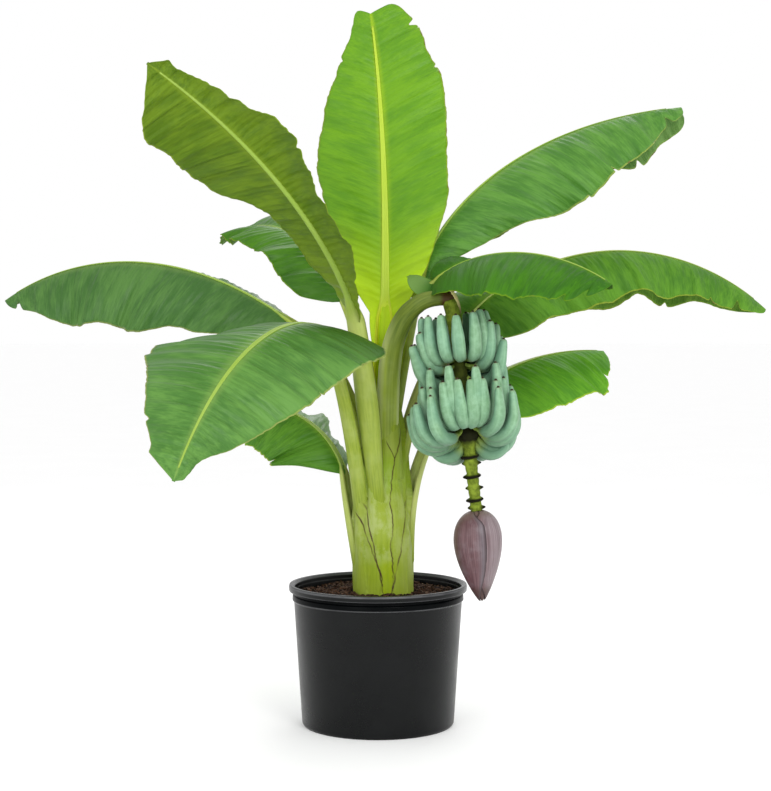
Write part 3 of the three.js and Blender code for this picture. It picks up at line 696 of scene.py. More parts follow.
def stem_finish():
    """The stem's sheaths. Marks: a dry edge, a waxy bloom, the young inner green, and fresh green."""
    f = Finish("sheath_green", 0.45, specular_ior_level=0.14)
    around, height = f.place()
    fibres = f.streaks(around, height, (160.0, 7.0), 0.0, 1.0, 3.0, 0.6)
    veil = f.streaks(around, height, (34.0, 20.0), 5.0, 1.0, 5.0, 0.7)
    mottle = f.local(18, 5.0, 0.65)
    f.colour(
        f.mix(f.band(fibres, 0.25, 0.75), *SHEATH_GREENS),
        (f.band(f.local(7, 2.0, 0.5), 0.4, 0.62, 0.0, 0.5), rgb(0.36, 0.43, 0.10)),
        (f.mark(2), f.mix(fibres, rgb(0.19, 0.285, 0.001), rgb(0.30, 0.39, 0.0015))),
        (f.mark(3), rgb(0.17, 0.34, 0.006)),
        (f.times(f.mark(1), f.band(veil, 0.40, 0.62, 0.0, 0.62)), rgb(0.40, 0.465, 0.18)),
        (f.band(mottle, 0.66, 0.8, 0.0, 0.45), rgb(0.13, 0.12, 0.03)),
        (f.mark(0), rgb(0.045, 0.018, 0.008)),
    )
    f.rough(f.band(veil, 0.3, 0.7, 0.36, 0.55))
    f.relief(f.maths("ADD", fibres, f.times(mottle, 0.5)), 0.0009)
    return f.material


def fruit_finish():
    """Waxy unripe fruit with paler ridges. Place runs from the fruit's stalk to its tip, and round it.

    Marks: the shade towards the stalk, and that of the flank which faces the bunch."""
    f = Finish("fruit_bloom", 0.52, sheen_weight=0.08, specular_ior_level=0.3)
    along, around = f.place()
    bloom = f.local(70, 4.0, 0.6)
    ridge = f.maths("ABSOLUTE", f.maths("COSINE", f.times(around, 5 * math.pi)))
    f.colour(
        f.mix(f.band(bloom, 0.3, 0.75), rgb(0.150, 0.300, 0.155), rgb(0.245, 0.425, 0.260)),
        (f.band(f.local(12, 2.0, 0.5), 0.35, 0.65, 0.0, 0.35), rgb(0.150, 0.330, 0.240)),
        (f.band(ridge, 0.86, 1.0, 0.0, 0.28), rgb(0.30, 0.52, 0.32)),
        (f.times(f.mark(1), 0.65), rgb(0.070, 0.175, 0.112)),
        (f.mark(0), rgb(0.080, 0.175, 0.095)),
        (f.band(along, 0.30, 0.14), rgb(0.20, 0.28, 0.045)),
        (f.band(along, 0.93, 1.0, 0.0, 0.6), rgb(0.24, 0.33, 0.17)),
        (f.band(f.local(95, 3.0, 0.7), 0.66, 0.76, 0.0, 0.4), rgb(0.09, 0.16, 0.07)),
    )
    f.rough(f.band(bloom, 0.3, 0.7, 0.42, 0.6))
    f.relief(bloom, 0.0005)
    return f.material


def dry_finish():
    """A papery tan bract, brown at its tip."""
    f = Finish("bract_dry", 0.7)
    along, across = f.place()
    fibres = f.streaks(across, along, (60.0, 3.0), 2.0, 1.0)
    f.colour(
        f.mix(f.band(fibres, 0.3, 0.7), rgb(0.42, 0.36, 0.12), rgb(0.66, 0.66, 0.26)),
        (f.band(along, 0.45, 0.95, 0.0, 0.85), rgb(0.11, 0.085, 0.02)),
    )
    f.relief(fibres, 0.0012)
    return f.material


def bud_finish():
    """Purple bracts, streaked from neck to tip. Marks: a bract's seam, its paler right side, which is painted
    light on the side towards the key lamp, and its grey bloom.
    """
    f = Finish("bract_purple", 0.42)
    along, around = f.place()
    streak = f.streaks(around, along, (130.0, 1.6), 0.0, 1.0)
    share = f.band(streak, 0.3, 0.7)
    f.colour(
        f.mix(share, rgb(0.066, 0.021, 0.026), rgb(0.150, 0.078, 0.086)),
        (f.band(f.local(24, 4.0, 0.6), 0.42, 0.7, 0.0, 0.45), rgb(0.21, 0.17, 0.185)),
        (f.mark(1), f.mix(share, rgb(0.16, 0.115, 0.125), rgb(0.31, 0.26, 0.275))),
        (f.mark(2), rgb(0.125, 0.122, 0.142)),
        (f.band(along, 0.79, 0.90, 0.0, 0.85), rgb(0.060, 0.028, 0.022)),
        (f.band(along, 0.10, 0.0, 0.0, 0.6), rgb(0.17, 0.115, 0.09)),
        (f.mark(0), rgb(0.026, 0.014, 0.018)),
    )
    f.relief(streak, 0.0007)
    return f.material


def rachis_finish():
    """The green hanging stalk. Marks: how dark it is, at the knot, in the bunch's shade and on the scars."""
    f = Finish("rachis_green", 0.7, specular_ior_level=0.06)
    spots = f.local(60, 4.0, 0.6)
    f.colour(
        f.mix(f.band(spots, 0.35, 0.65), rgb(0.085, 0.12, 0.012), rgb(0.20, 0.27, 0.028)),
        (f.mark(0), rgb(0.008, 0.007, 0.004)),
    )
    f.relief(spots, 0.001)
    return f.material


def mottled_finish(name, light, dark, rough, scale, depth):
    """A mottled surface of two colours."""
    f = Finish(name, rough, specular_ior_level=0.12)
    spots = f.local(scale, 5.0, 0.65)
    f.colour(f.mix(f.band(spots, 0.35, 0.65), dark, light))
    f.relief(spots, depth)
    return f.material


def pot_finish(name, gloss, edge_highlights=()):
    """Black moulded plastic with dust, and pale lines of painted highlight along the lip's and bead's edges,
    each given as depth below the lip, spread and share.
    """
    f = Finish(name, 0.3, specular_ior_level=gloss)
    dust = f.local(9, 5.0, 0.7)
    height = f.node("SeparateXYZ", 2, {0: f.node("TexCoord", 3)})
    patchy = f.band(f.local(16, 3.0, 0.6), 0.25, 0.6, 0.45, 1.0)
    highlight_coats = []
    # Each pale line is a painted highlight, where the lamp's reflection would run along an edge.
    for depth, spread, share in edge_highlights:
        near = f.maths("ABSOLUTE", f.maths("SUBTRACT", height, POT_HIGH[2] - depth))
        edge = f.band(near, spread, 0.3 * spread, 0.0, share)
        highlight_coats.append((f.times(edge, patchy), rgb(0.105, 0.107, 0.112)))
    f.colour(f.mix(f.band(dust, 0.35, 0.75), rgb(0.0010, 0.0015, 0.0017), rgb(0.0028, 0.0034, 0.0038)), *highlight_coats)
    f.rough(f.band(dust, 0.3, 0.7, 0.25, 0.36))
    f.relief(f.local(420, 2.0, 0.5), 0.0002)
    return f.material


# ---------------------------------------- pot and soil


def turned_rings(outline, sides):
    """Rings round the upright axis, through an outline of radii and heights."""
    angle = circle(sides)
    radius, height = np.array(outline).T
    return np.stack([np.outer(radius, np.cos(angle)), np.outer(radius, np.sin(angle)),
                     np.repeat(height[:, None], sides, 1)], -1)


def rounded(points, radius, steps=4):
    """An outline with each inner corner replaced by a short arc-like curve."""
    made = [points[0]]
    for before, corner, after in zip(points, points[1:], points[2:]):
        corner, before, after = (np.array(p, float) for p in (corner, before, after))
        reach = min(radius, np.linalg.norm(before - corner) / 2.1, np.linalg.norm(after - corner) / 2.1)
        start = corner + unit(before - corner) * reach
        end = corner + unit(after - corner) * reach
        for k in range(steps + 1):
            t = k / steps
            made.append(tuple((1 - t) ** 2 * start + 2 * t * (1 - t) * corner + t * t * end))
    made.append(points[-1])
    return made


def make_pot(plastic, shadowed):
    """The hollow pot: up its outside and over the bead and the lip, then down its inside."""
    lip, top = POT_HIGH[0], POT_HIGH[2]
    foot, neck, bead = 0.180, 0.2020, 0.2064
    outline = rounded([
        (0.0, 0.0), (foot, 0.0), (foot + 0.0035, 0.006),
        (neck + 0.0005, top - 0.0420), (neck + 0.0010, top - 0.0405),
        (bead, top - 0.0378), (bead - 0.0008, top - 0.0260),
        (neck, top - 0.0240), (neck, top - 0.0172),
        (lip - 0.001, top - 0.0160), (lip, top - 0.0060), (lip - 0.0016, top), (lip - 0.009, top),
        (neck - 0.0015, top - 0.006), (neck - 0.0035, top - 0.040), (foot - 0.0010, 0.005), (0.0, 0.005),
    ], 0.0016)
    rings = turned_rings(outline, 128)[1:-1][::-1]
    middle = (rings[1:, 0] + rings[:-1, 0]) / 2
    radius, depth = np.hypot(middle[:, 0], middle[:, 1]), top - middle[:, 2]
    # The recess under the lip gets a second copy of the plastic that hardly reflects: painted shade.
    recess = (depth > 0.0150) & (depth < 0.0345) & (radius > neck - 0.0008)
    kinds = recess.astype(int)[:, None]
    ring_piece("pot_shell", [plastic, shadowed], "pot", ["pot"], rings, kinds=kinds)


def soil_height(x, y):
    """The soil's uneven surface, lower towards the pot's wall."""
    radius = np.hypot(x, y)
    swell = 0.0035 * waves(x * 9 + 0.3, 5) + 0.0035 * waves(y * 9 + 1.7, 6) + 0.002 * waves((x + y) * 21, 7)
    return SOIL_HIGH[2] - 0.003 - 0.006 * (radius / 0.19) ** 2 + swell


def make_soil(earth, barks):
    """The soil's bed, and the loose bits on it. barks: a material, a count and a size for each kind."""
    edge = POT_HIGH[0] - 0.018
    sides, rows = 96, 30
    radius = np.linspace(0.02, 1, rows) * edge
    angle = circle(sides)
    x, y = radius[:, None] * np.cos(angle), radius[:, None] * np.sin(angle)
    top = np.stack([x, y, soil_height(x, y)], -1)
    low = np.stack([x[-1], y[-1], np.full(sides, SOIL_BED_LOW)], -1)[None]
    ring_piece("soil_bed", [earth], "soil", ["soil"], np.concatenate([low, top[::-1]]))
    rng = np.random.default_rng(11)
    for number, (bark, count, size) in enumerate(barks):
        make_mulch(f"soil_mulch_{number + 1}", bark, count, size, edge - 0.006, rng)


def make_mulch(name, bark, count, size, edge, rng):
    """Bark chips and fibres as small uneven blocks, lying on the soil."""
    shape = Shape()
    block = np.array([(-1, -1, -1), (1, -0.8, -1), (0.9, 1, -1), (-1, 0.8, -1),
                      (-0.8, -0.9, 1), (0.9, -0.7, 1), (0.8, 0.8, 1), (-0.9, 0.7, 1)]) / 2
    quads = np.array([(3, 2, 1, 0), (4, 5, 6, 7), (0, 1, 5, 4), (1, 2, 6, 5), (2, 3, 7, 6), (3, 0, 4, 7)])
    for _ in range(count):
        radius = edge * math.sqrt(rng.uniform(0.12, 1.0))
        turn, spin = rng.uniform(0, 2 * math.pi, 2)
        spot_x, spot_y = radius * math.cos(turn), radius * math.sin(turn)
        scale = np.array(size) * rng.uniform(0.5, 1.3, 3)
        x, y, z = ((block + rng.normal(0, 0.07, block.shape)) * scale).T
        z = z + x * math.tan(rng.normal(0, 0.28))
        c, s = math.cos(spin), math.sin(spin)
        level = soil_height(spot_x, spot_y) + 0.2 * size[2] + 0.003 * rng.random()
        points = np.stack([x * c - y * s + spot_x, x * s + y * c + spot_y, z + level], -1)
        spot = np.full((24, 2), rng.random())
        shape.add(points, quads, 0, spot, spot)
    shape.piece(name, [bark], [], smoothed=False)


# ---------------------------------------- stem


def stem_radius(height):
    """Radius of the stem at heights above the soil, smoothed between the named ones."""
    shifts = (-0.02, -0.01, 0, 0.01, 0.02)
    return sum(np.interp(height + shift, *STEM_TAPER.T) for shift in shifts) / len(shifts)


def make_stem(material):
    """One skin over the stem: sheaths that overlap in layers, with a ridge where each stalk leaves."""
    sides, rows = 300, 190
    height = np.linspace(-0.012, STEM_HIGH[2] - STEM_LOW[2], rows)[:, None]
    angle = circle(sides)[None, :]
    outline = stem_radius(height)
    radius = outline - 0.0125 + 0 * angle
    dry, bloom, young = (np.zeros_like(radius) for _ in range(3))
    for name, leaf in sorted(LEAVES.items(), key=lambda item: item[1]["sheath"][2]):
        half, reach, layer, hold = leaf["sheath"]
        away = wrapped(angle - math.radians(leaf["seat"][0]))
        wobble = 0.05 * waves(height * 9, layer + 20) + 0.009 * waves(height * 40, layer + 40)
        share = np.clip(height / reach, 0.0, 1.0)
        open_angle = math.radians(half) * (1 - share**hold) ** 0.75 * (1 + wobble)
        gap = (open_angle - np.abs(away)) * outline
        inside = smooth(gap / 0.0025)
        radius = radius + 0.0016 * inside * (1 + 0.5 * np.clip(gap / 0.05, 0, 1))
        line = bell(gap - 0.0011, 0.0013) * (0.75 + 0.5 * waves(height * 14, layer + 60))
        line = line * smooth((open_angle * outline - 0.020) / 0.007)
        wax, green = SHEATH_LOOKS.get(name, USUAL_SHEATH_LOOKS)
        dry = dry * (1 - inside) + line
        bloom = lerp(bloom, wax * (0.5 + 0.5 * smooth(gap / 0.03)), inside)
        young = lerp(young, green, inside)
        radius = smooth_max(radius, stalk_reach(leaf, away, height), 0.004)
    low = smooth((0.105 - height) / 0.05)
    middle = between(height, 0.06, 0.05, 0.34, 0.14)
    upper = between(height, 0.225, 0.04, 0.36, 0.06)
    marks = [dry * 1.3, bloom * (0.10 + 0.9 * middle), young * (0.35 + 0.9 * low), young * upper * 0.35]
    rings = np.stack([STEM_AXIS[0] + radius * np.cos(angle), radius * np.sin(angle),
                      STEM_LOW[2] + height + 0 * angle], -1)
    metres_round = np.linspace(0, 2 * math.pi, sides + 1) * 0.06
    shape = Shape()
    shape.ring_skin(rings, u=height[:, 0], v=metres_round, marks=np.clip(np.stack(marks, -1), 0, 1))
    # Place goes round the stem first and then up it.
    shape.place = [pairs[:, ::-1] for pairs in shape.place]
    shape.piece("stem_sheaths", [material], ["pseudostem"])


def stalk_reach(leaf, away, height):
    """How far from the stem's axis a leaf's stalk reaches, at each angle from its own.

    Below its seat the stalk widens and flattens until it is lost in the sheath."""
    frames = stalk_frames(leaf, 40)
    level = frames["points"][:, 2] - STEM_LOW[2]
    offset = frames["points"] - STEM_AXIS
    low = level[0] - RIDGE_LENGTH
    h = np.clip(height, low, level[-1])
    below = smooth((h - low) / RIDGE_LENGTH)
    width = np.interp(h, level, lerp(STALK_SEAT_WIDTH, STALK_FOOT_WIDTH, frames["s"]))
    width = width + lerp(0.018, 0.0, below) - 0.002 * smooth((h - level[0]) / 0.05)
    centre = np.hypot(np.interp(h, level, offset[:, 0]), np.interp(h, level, offset[:, 1]))
    top = lerp(stem_radius(low) - 0.014, centre + width * STALK_DEPTH, below)
    centre = (top - width) * (np.hypot(offset[0, 0], offset[0, 1]) > 0.01)
    turn = wrapped(np.arctan2(np.interp(h, level, offset[:, 1]), np.interp(h, level, offset[:, 0]))
                   - math.radians(leaf["seat"][0]))
    away = wrapped(away - turn * below)
    chord = width**2 - (centre * np.sin(away)) ** 2
    reach = centre * np.cos(away) + np.sqrt(np.maximum(chord, 0))
    ahead = (chord > 0) & (np.cos(away) > 0) & (centre > 0.0005)
    limit = stem_radius(height) + 0.016
    return np.where(ahead, np.minimum(reach, limit), 0.0)


# ---------------------------------------- leaves


def limb_rings(frames, width, depth, opening, thickness, sides):
    """Rings of a channelled limb: a rounded keel, and a groove along its upper side."""
    across = np.linspace(-1, 1, sides // 2)
    outer = np.radians(opening)[:, None] * across
    wall = thickness[:, None] * (1 - 0.55 * np.abs(across[::-1]) ** 3)

    def arc(angle, w, d):
        return (frames["points"][:, None] + (w * np.sin(angle))[..., None] * frames["left"][:, None]
                - (d * np.cos(angle))[..., None] * frames["up"][:, None])

    keel = arc(outer, width[:, None], depth[:, None])
    groove = arc(outer[:, ::-1], width[:, None] - wall, depth[:, None] - wall)
    return np.concatenate([keel, groove], 1)


def rooted(frames, leaf):
    """A limb's frames with a few more that lead down from its seat and sink into the stem."""
    rings, depth = len(ROOTS), ROOTS[:, None]
    outward = frames["points"][0] - STEM_AXIS
    outward = unit(outward * (1, 1, 0)) if leaf["seat"][1] > 0.01 else 0 * outward
    led = {key: np.concatenate([np.repeat(value[:1], rings, 0), value]) for key, value in frames.items()}
    led["points"][:rings] += -led["along"][:rings] * depth - outward * 0.030 * (depth / ROOTS[0]) ** 1.3
    return led


def make_limb(name, leaf, material):
    """A leaf's stalk and, on from it, the midrib that runs out along the blade, almost to its tip."""
    lower, upper = stalk_frames(leaf, 44), blade_frames(leaf, 110)
    rib_rows, sides, foot = 106, 26, STALK_FOOT_WIDTH
    keys = ("points", "left", "up", "along")
    frames = {key: np.concatenate([lower[key][:-1], upper[key][:rib_rows]]) for key in keys}
    frames = rooted(frames, leaf)
    s, b = np.concatenate([np.zeros(len(ROOTS)), lower["s"][:-1]]), upper["s"][:rib_rows]
    ease = smooth(b / 0.10)
    on_rib = np.concatenate([np.zeros(len(s)), ease])
    stalk = lerp(STALK_SEAT_WIDTH, foot, s)
    rib = lerp(0.0105, 0.0018, b**0.8) * leaf.get("rib", 1.0)
    bulk = 1 + (leaf.get("bulk", 1.0) - 1) * np.concatenate([smooth(s / 0.6), 1 - ease])
    width = bulk * np.concatenate([stalk, lerp(foot, rib, ease)])
    depth = bulk * np.concatenate([stalk * STALK_DEPTH, lerp(foot * STALK_DEPTH, rib * 0.9, ease)])
    opening = np.concatenate([lerp(128, 122, s), lerp(122, 96, ease)])
    thickness = depth * np.concatenate([lerp(0.55, 0.75, s), lerp(0.75, 0.97, ease)])
    lift = leaf.get("rib_lift", USUAL_RIB_LIFT) * on_rib[:, None]
    frames["points"] = frames["points"] + frames["up"] * lift
    rings = limb_rings(frames, width, depth, opening, thickness, sides)
    across = np.abs(there_and_back(np.linspace(-1, 1, sides // 2)))
    # glow: a paler green on the stalk, partly its own colour and partly painted light that brightens stalks
    # lying in shade.
    glow = leaf.get("glow", 0.0) * np.concatenate([smooth(s / 0.45), np.ones(len(b))])
    # The dark lines along the stalk's edges are partly dry brown margins and partly painted shade in the
    # crevices between the stalks.
    dry = 0.35 * np.outer(1 - on_rib, bell(across - 1.0, 0.10))
    young = (glow * lerp(1.0, 0.35, on_rib))[:, None]
    # Near its seat the stalk takes on the sheath's greens.
    shade = np.concatenate([1 - smooth(s / 0.35), np.zeros(len(b))])[:, None]
    marks = marked(len(rings), sides, dry, 0.7 * on_rib[:, None], young, shade)
    length = np.concatenate([s * leaf["stalk"], leaf["stalk"] + b * leaf["blade"]])
    length[:len(ROOTS)] -= ROOTS
    nodes = nodes_of(f"{name}_stalk")
    ring_piece(f"stalk_{name}", [material], "leaf_stalk", nodes, rings, u=length, marks=marks)


def width_share(half, s):
    """A half blade's plain width at stations s, as a share of its full width."""
    rising = np.sqrt(np.maximum(0, 1 - np.maximum(0, 1 - s / half["peak"]) ** half["foot"]))
    past = np.clip((s - half["peak"]) / (1 - half["peak"]), 0, 1)
    falling = half["blunt"] + (1 - half["blunt"]) * (1 - past ** half["tip"]) ** TIP_ROUNDING
    return np.where(s < half["peak"], rising, falling)


def half_width(leaf, half, side, station, seed):
    """A half blade's width at each station, with its trims, tail, tears, flap and pointed tip."""
    s = np.maximum(station, 0.0)
    width = half["width"] * width_share(half, s) * (1 + 0.012 * waves(s * 17, seed + 1))
    trim = catmull(np.array(half.get("trim", (0, 0)), float)[:, None], 201)[:, 0]
    width = width + 0.001 * np.interp(s, np.linspace(0, 1, 201), trim)
    if "tail" in leaf:
        reach = leaf["tail"][0] / leaf["blade"]
        wing = leaf["tail"][1 if side > 0 else 2] * smooth((station + reach) / reach) * smooth(1.6 - s / 0.08)
        width = np.maximum(width, wing)
    for torn, place, notch, spread in leaf["tears"]:
        if torn == side:
            width = width * (1 - notch * bell(s - place, spread))
    if "flap" in leaf and side < 0:
        back, reach = leaf["flap"]
        ear = reach * smooth(1.25 + station * leaf["blade"] / back) * smooth(1.9 - s / 0.06)
        width = np.maximum(width, ear)
    if "point" in leaf:
        width = np.minimum(width, leaf["point"] * (1 - s) * leaf["blade"])
    return np.maximum(width, 0.003)


def ripples(leaf, side, station, share, v, seed):
    """How far a half blade rises along its normals: its margin's waves, fine pleats and broad folds."""
    depth, period, phase = leaf["ruffle"][0 if side > 0 else 1]
    s, metres = np.maximum(station, 0.0), station * leaf["blade"]
    turns = 2 * math.pi * metres
    wave = np.sin(turns / period + 2 * math.pi * phase) + 0.7 * waves(metres / period * 1.3, seed + 3)
    pleat = PLEAT_DEPTH * np.sin(turns / PLEAT_LENGTH + 2 * waves(metres * 8, seed + 4))
    fold = FOLD_DEPTH * np.sin(turns / FOLD_LENGTH + 2.6 * waves(metres * 5, seed + 6))
    ends = smooth(s / 0.08) * smooth((1 - s) / 0.05)
    return (np.outer(depth * wave * ends * share, v**1.8)
            + np.outer(pleat * ends, smooth(v / 0.12) * (1 - 0.55 * v))
            + np.outer(fold * ends, smooth(v / 0.5) * (1 - 0.3 * v)))


def half_blade(leaf, frames, side, seed):
    """Points and normals of a half blade, from the midrib out to its margin."""
    half = leaf["left" if side > 0 else "right"]
    station = frames["s"]
    s = np.maximum(station, 0.0)
    width = half_width(leaf, half, side, station, seed)
    v = np.linspace(0, 1, BLADE_STEPS + 1)
    middle = (v[1:] + v[:-1]) / 2
    slope = half["fold"] + half["curl"] * middle + 5 * np.outer(waves(s * 3, seed + 2), middle)
    if "foot_fold" in half:
        angle, reach = half["foot_fold"]
        slope = slope + angle * np.outer(smooth(1 - s / reach), 1 - 0.3 * middle)
    slope, step = np.radians(slope), (width / BLADE_STEPS)[:, None]
    zero = np.zeros((len(s), 1))
    out = np.hstack([zero, np.cumsum(step * np.cos(slope), 1)])
    rise = np.hstack([zero, np.cumsum(step * np.sin(slope), 1)])
    lean = np.radians(leaf["sweep"] - leaf["lobe"] * np.exp(-s / LOBE_REACH))
    ahead = step * np.tan(lean)[:, None] * np.arange(BLADE_STEPS + 1)
    left, up, along = (frames[k][:, None, :] for k in ("left", "up", "along"))
    points = frames["points"][:, None] + side * out[..., None] * left
    points = points + rise[..., None] * up + ahead[..., None] * along
    angle = np.radians(half["fold"] + half["curl"] * v)[None, :, None]
    normal = up * np.cos(angle) - side * left * np.sin(angle)
    raised = ripples(leaf, side, station, width / half["width"], v, seed)
    return points + raised[..., None] * normal, normal


def make_blade(name, leaf, surfaces, seed):
    """A blade as a thin closed skin, with one material on top and the other underneath."""
    frames = leaf_frames(leaf, BLADE_STEP)
    left, left_normal = half_blade(leaf, frames, 1, seed)
    right, right_normal = half_blade(leaf, frames, -1, seed + 7)
    points = np.concatenate([left[:, ::-1], right[:, 1:]], 1)
    normal = np.concatenate([left_normal[:, ::-1], right_normal[:, 1:]], 1)
    across = np.linspace(-1, 1, 2 * BLADE_STEPS + 1)
    skin = normal * (BLADE_SKIN * (1 - 0.5 * np.abs(across)))[:, None]
    rings = np.concatenate([points - skin, (points + skin)[:, ::-1]], 1)
    kinds = np.repeat([1, 0], len(across))
    v = np.append(there_and_back(across), across[0])
    metres = frames["s"] * leaf["blade"]
    slot = "young_leaf" if name == "crown" else "leaf"
    ring_piece(f"blade_{name}", surfaces, slot, nodes_of(f"{name}_blade"), rings, kinds=kinds, u=metres, v=v)


def make_leaves():
    """Every leaf's blade, with a surface for each of its sides, and its stalk with the midrib."""
    limb = limb_finish("stalk_green", SHEATH_GREENS, rgb(0.52, 0.58, 0.20))
    young_limb = limb_finish("stalk_young", SHEATH_GREENS, rgb(0.70, 0.86, 0.012))
    for number, (name, leaf) in enumerate(LEAVES.items()):
        top, under = BLADE_COLOURS.get(name, (MATURE, MATURE_UNDER))
        gloss = leaf.get("gloss", USUAL_GLOSS)
        surfaces = [
            blade_finish(f"{name}_top", top, leaf, gloss, number),
            blade_finish(f"{name}_under", under, leaf, gloss + 0.1, number + 20.0),
        ]
        make_blade(name, leaf, surfaces, 100 + 13 * number)
        make_limb(name, leaf, young_limb if name == "crown" else limb)


# ---------------------------------------- flower stalk, fruit and bud

# The hanging stalk's line, the way to the front, and the way to its side.
DOWN = unit(BUD_NECK - BUNCH_TOP)
FRONT = np.array([0.0, -1.0, 0.0])
SIDE = unit(np.cross(FRONT, DOWN))
BUD_AXIS = unit(np.array([0.0145, 0.0, -0.2080]))


def make_arch(green):
    """The flower stalk, which rises out of the stem like a channelled leaf stalk and bends over."""
    rows, sides = 90, 30
    curve = catmull(ARCH_ROUTE, rows)
    left, up = tube_frames(curve, np.array([0.55, 0.0, -0.35]))
    t = np.linspace(0, 1, rows)
    width = np.interp(t, *ARCH_WIDTHS.T)
    frames = dict(points=curve, left=left, up=up)
    channel = 1 - smooth((t - 0.72) / 0.14)
    wall = width * lerp(0.97, 0.62, channel)
    rings = limb_rings(frames, width, width * 0.85, 128 - 12 * channel, wall, sides)
    facing = (rings[..., 0] - curve[:, None, 0]) / width[:, None]
    high = smooth((t - 0.15) / 0.22)[:, None]
    shaded = between(facing, lerp(-0.35, -1.1, high), 0.3, lerp(0.70, 1.6, high), 0.3)
    depth = smooth((t - 0.03) / 0.06) * lerp(0.45, 1.0, smooth((t - 0.12) / 0.3))
    rims = smooth((-facing - 0.35) / 0.4) + smooth((facing - 0.70) / 0.2)
    dry_end = 0.9 * between(t, 0.80, 0.06, 1.02, 0.05)[:, None]
    glow = 0.75 * rims * smooth((0.50 - t) / 0.3)[:, None]
    marks = marked(rows, sides, dry_end, 0, glow, shaded * depth[:, None])
    ring_piece("flower_stalk_arch", [green], "flower_stalk", ["flower_stalk"], rings, u=t * 0.42, marks=marks)


def make_dry_bract(dry):
    """The dry bract that still hoods the top of the bunch."""
    rows = 40
    t = np.linspace(0, 1, rows)
    curve = catmull(DRY_BRACT_ROUTE, rows)
    left, up = tube_frames(curve, np.array([0.1, 1.0, 0.0]))
    frames = dict(points=curve, left=left, up=-up)
    width = 0.012 * np.sin(math.pi * (0.14 + 0.82 * t**0.75)) ** 0.8 * (1 + 0.06 * waves(t * 6, 3))
    opening = 62 + 26 * t + 6 * waves(t * 4, 8)
    rings = limb_rings(frames, width, width * 0.9, opening, np.full(rows, 0.0011), 28)
    ring_piece("bract_dry", [dry], "flower_stalk", [], rings, u=t)


def make_hanging_stalk(scar):
    """The stalk down through the bunch, with a dark knot under the lowest fruit and the bracts' scars."""
    rows, sides = 300, 32
    t = np.linspace(0, 1, rows)[:, None]
    spine = lerp(BUNCH_TOP, BUD_NECK, t) + np.array([-0.008, 0, 0.012]) * np.clip(1 - t / 0.10, 0, 1) ** 2
    angle = circle(sides)[None, :]
    knot = bell(t - 0.625, 0.038) * (1 + 0.1 * np.cos(9 * angle))
    radius = lerp(0.0178, 0.0118, t) + 0.013 * knot
    shade = 0.75 * between(t, 0.22, 0.06, 0.64, 0.05)
    dark = np.maximum(0.97 * np.clip(knot * 1.9, 0, 1), shade)
    for number, station in enumerate(SCARS):
        away = angle - (math.pi * number + 1.9)
        reach = np.clip(0.62 + 0.5 * np.cos(away) + 0.28 * np.cos(2 * angle), 0.12, 1.3)
        past = t - station - 0.004 * np.cos(away)
        ledge = np.exp(-np.abs(past / 0.0085) ** 3) * reach
        radius = radius + 0.0092 * ledge + 0.0016 * bell(past - 0.024, 0.016)
        dark = np.maximum(dark, np.clip(ledge * 1.9 - 0.2, 0, 1))
    rings = round_rings(spine, radius, SIDE, sides)[:, ::-1]
    marks = marked(rows, sides, dark)[:, ::-1]
    ring_piece("flower_stalk_hanging", [scar], "flower_stalk", ["bunch_stalk"], rings, marks=marks)


def fruit_rings(base, outward, slope, bend, length, thick):
    """A fruit that leaves the stalk at a slope and then turns up, nearly along it."""
    t = np.concatenate([np.linspace(0, 0.86, 22, endpoint=False), [0.86, 0.90, 0.94, 0.97, 0.99, 1.0]])
    stops = np.linspace(0, 1, 61)
    middle = (stops[1:] + stops[:-1]) / 2
    turned = 0.82 * smooth((middle - bend[0]) / (bend[1] - bend[0])) + 0.18 * middle
    slope = np.radians(lerp(slope[0], slope[1], turned))[:, None]
    fine = walk(base, outward * np.cos(slope) - DOWN * np.sin(slope), length)
    points = np.stack([np.interp(t, stops, column) for column in fine.T], -1)
    swell = smooth((t - 0.13) / 0.19) * (1 - 0.48 * smooth((t - 0.60) / 0.38))
    swell = swell * np.sqrt(1 - 0.95 * np.clip((t - 0.90) / 0.10, 0, 1) ** 2)
    sides = 15
    facets = 1 + 0.075 * np.outer(swell, np.cos(5 * circle(sides)))
    radius = lerp(0.0046, thick / 2, swell)[:, None] * facets
    return round_rings(points, radius, np.cross(DOWN, outward), sides)


def row_of_fruit(row, rng):
    """The skins of one row's fruits."""
    for k in range(row["count"]):
        turn = math.radians(lerp(*row["arc"], (k + 0.5) / row["count"]) + rng.uniform(-2, 2))
        outward = FRONT * math.cos(turn) + SIDE * math.sin(turn)
        station = row["at"] + rng.uniform(-0.006, 0.006)
        base = lerp(BUNCH_TOP, BUD_NECK, station) + outward * 0.012
        slope, fall = row["slope"]
        start = slope - fall * (1 - math.cos(turn)) / 2 + rng.uniform(-4, 4)
        slopes = (start, row["tip"] + rng.uniform(-5, 5))
        length, thick = row["length"] * rng.uniform(0.95, 1.05), FRUIT_THICKNESS * rng.uniform(0.94, 1.05)
        yield fruit_rings(base, outward, slopes, row["bend"], length, thick)


def make_fruit(body, neck, tip):
    """One piece for each hand of fruit, with the fruits' necks and dry tips."""
    rng = random.Random(4)
    for hand, under_shade in enumerate(UNDER_SHADE, 1):
        skins = [skin for row in FRUIT_ROWS if row["hand"] == hand for skin in row_of_fruit(row, rng)]
        shape = Shape()
        for number, rings in enumerate(skins):
            rows, sides = rings.shape[:2]
            kinds = np.zeros((rows - 1, sides), int)
            kinds[:4] = 1
            cell = (0, number / len(skins), 1, (number + 0.92) / len(skins))
            from_tip = np.linspace(1, 0, rows)[:, None]
            shade = under_shade * smooth((from_tip - 0.35) / 0.5)
            flank = 1 - smooth((np.sin(circle(sides)) + 0.15) / 0.7)
            marks = marked(rows, sides, shade, flank)[:, ::-1]
            shape.ring_skin(rings[:, ::-1], kinds=kinds, cell=cell, marks=marks)
            add_tip(shape, rings, 2)
        shape.piece(f"fruit_{hand}", [body, neck, tip], [f"fruit_hand_{hand}"])


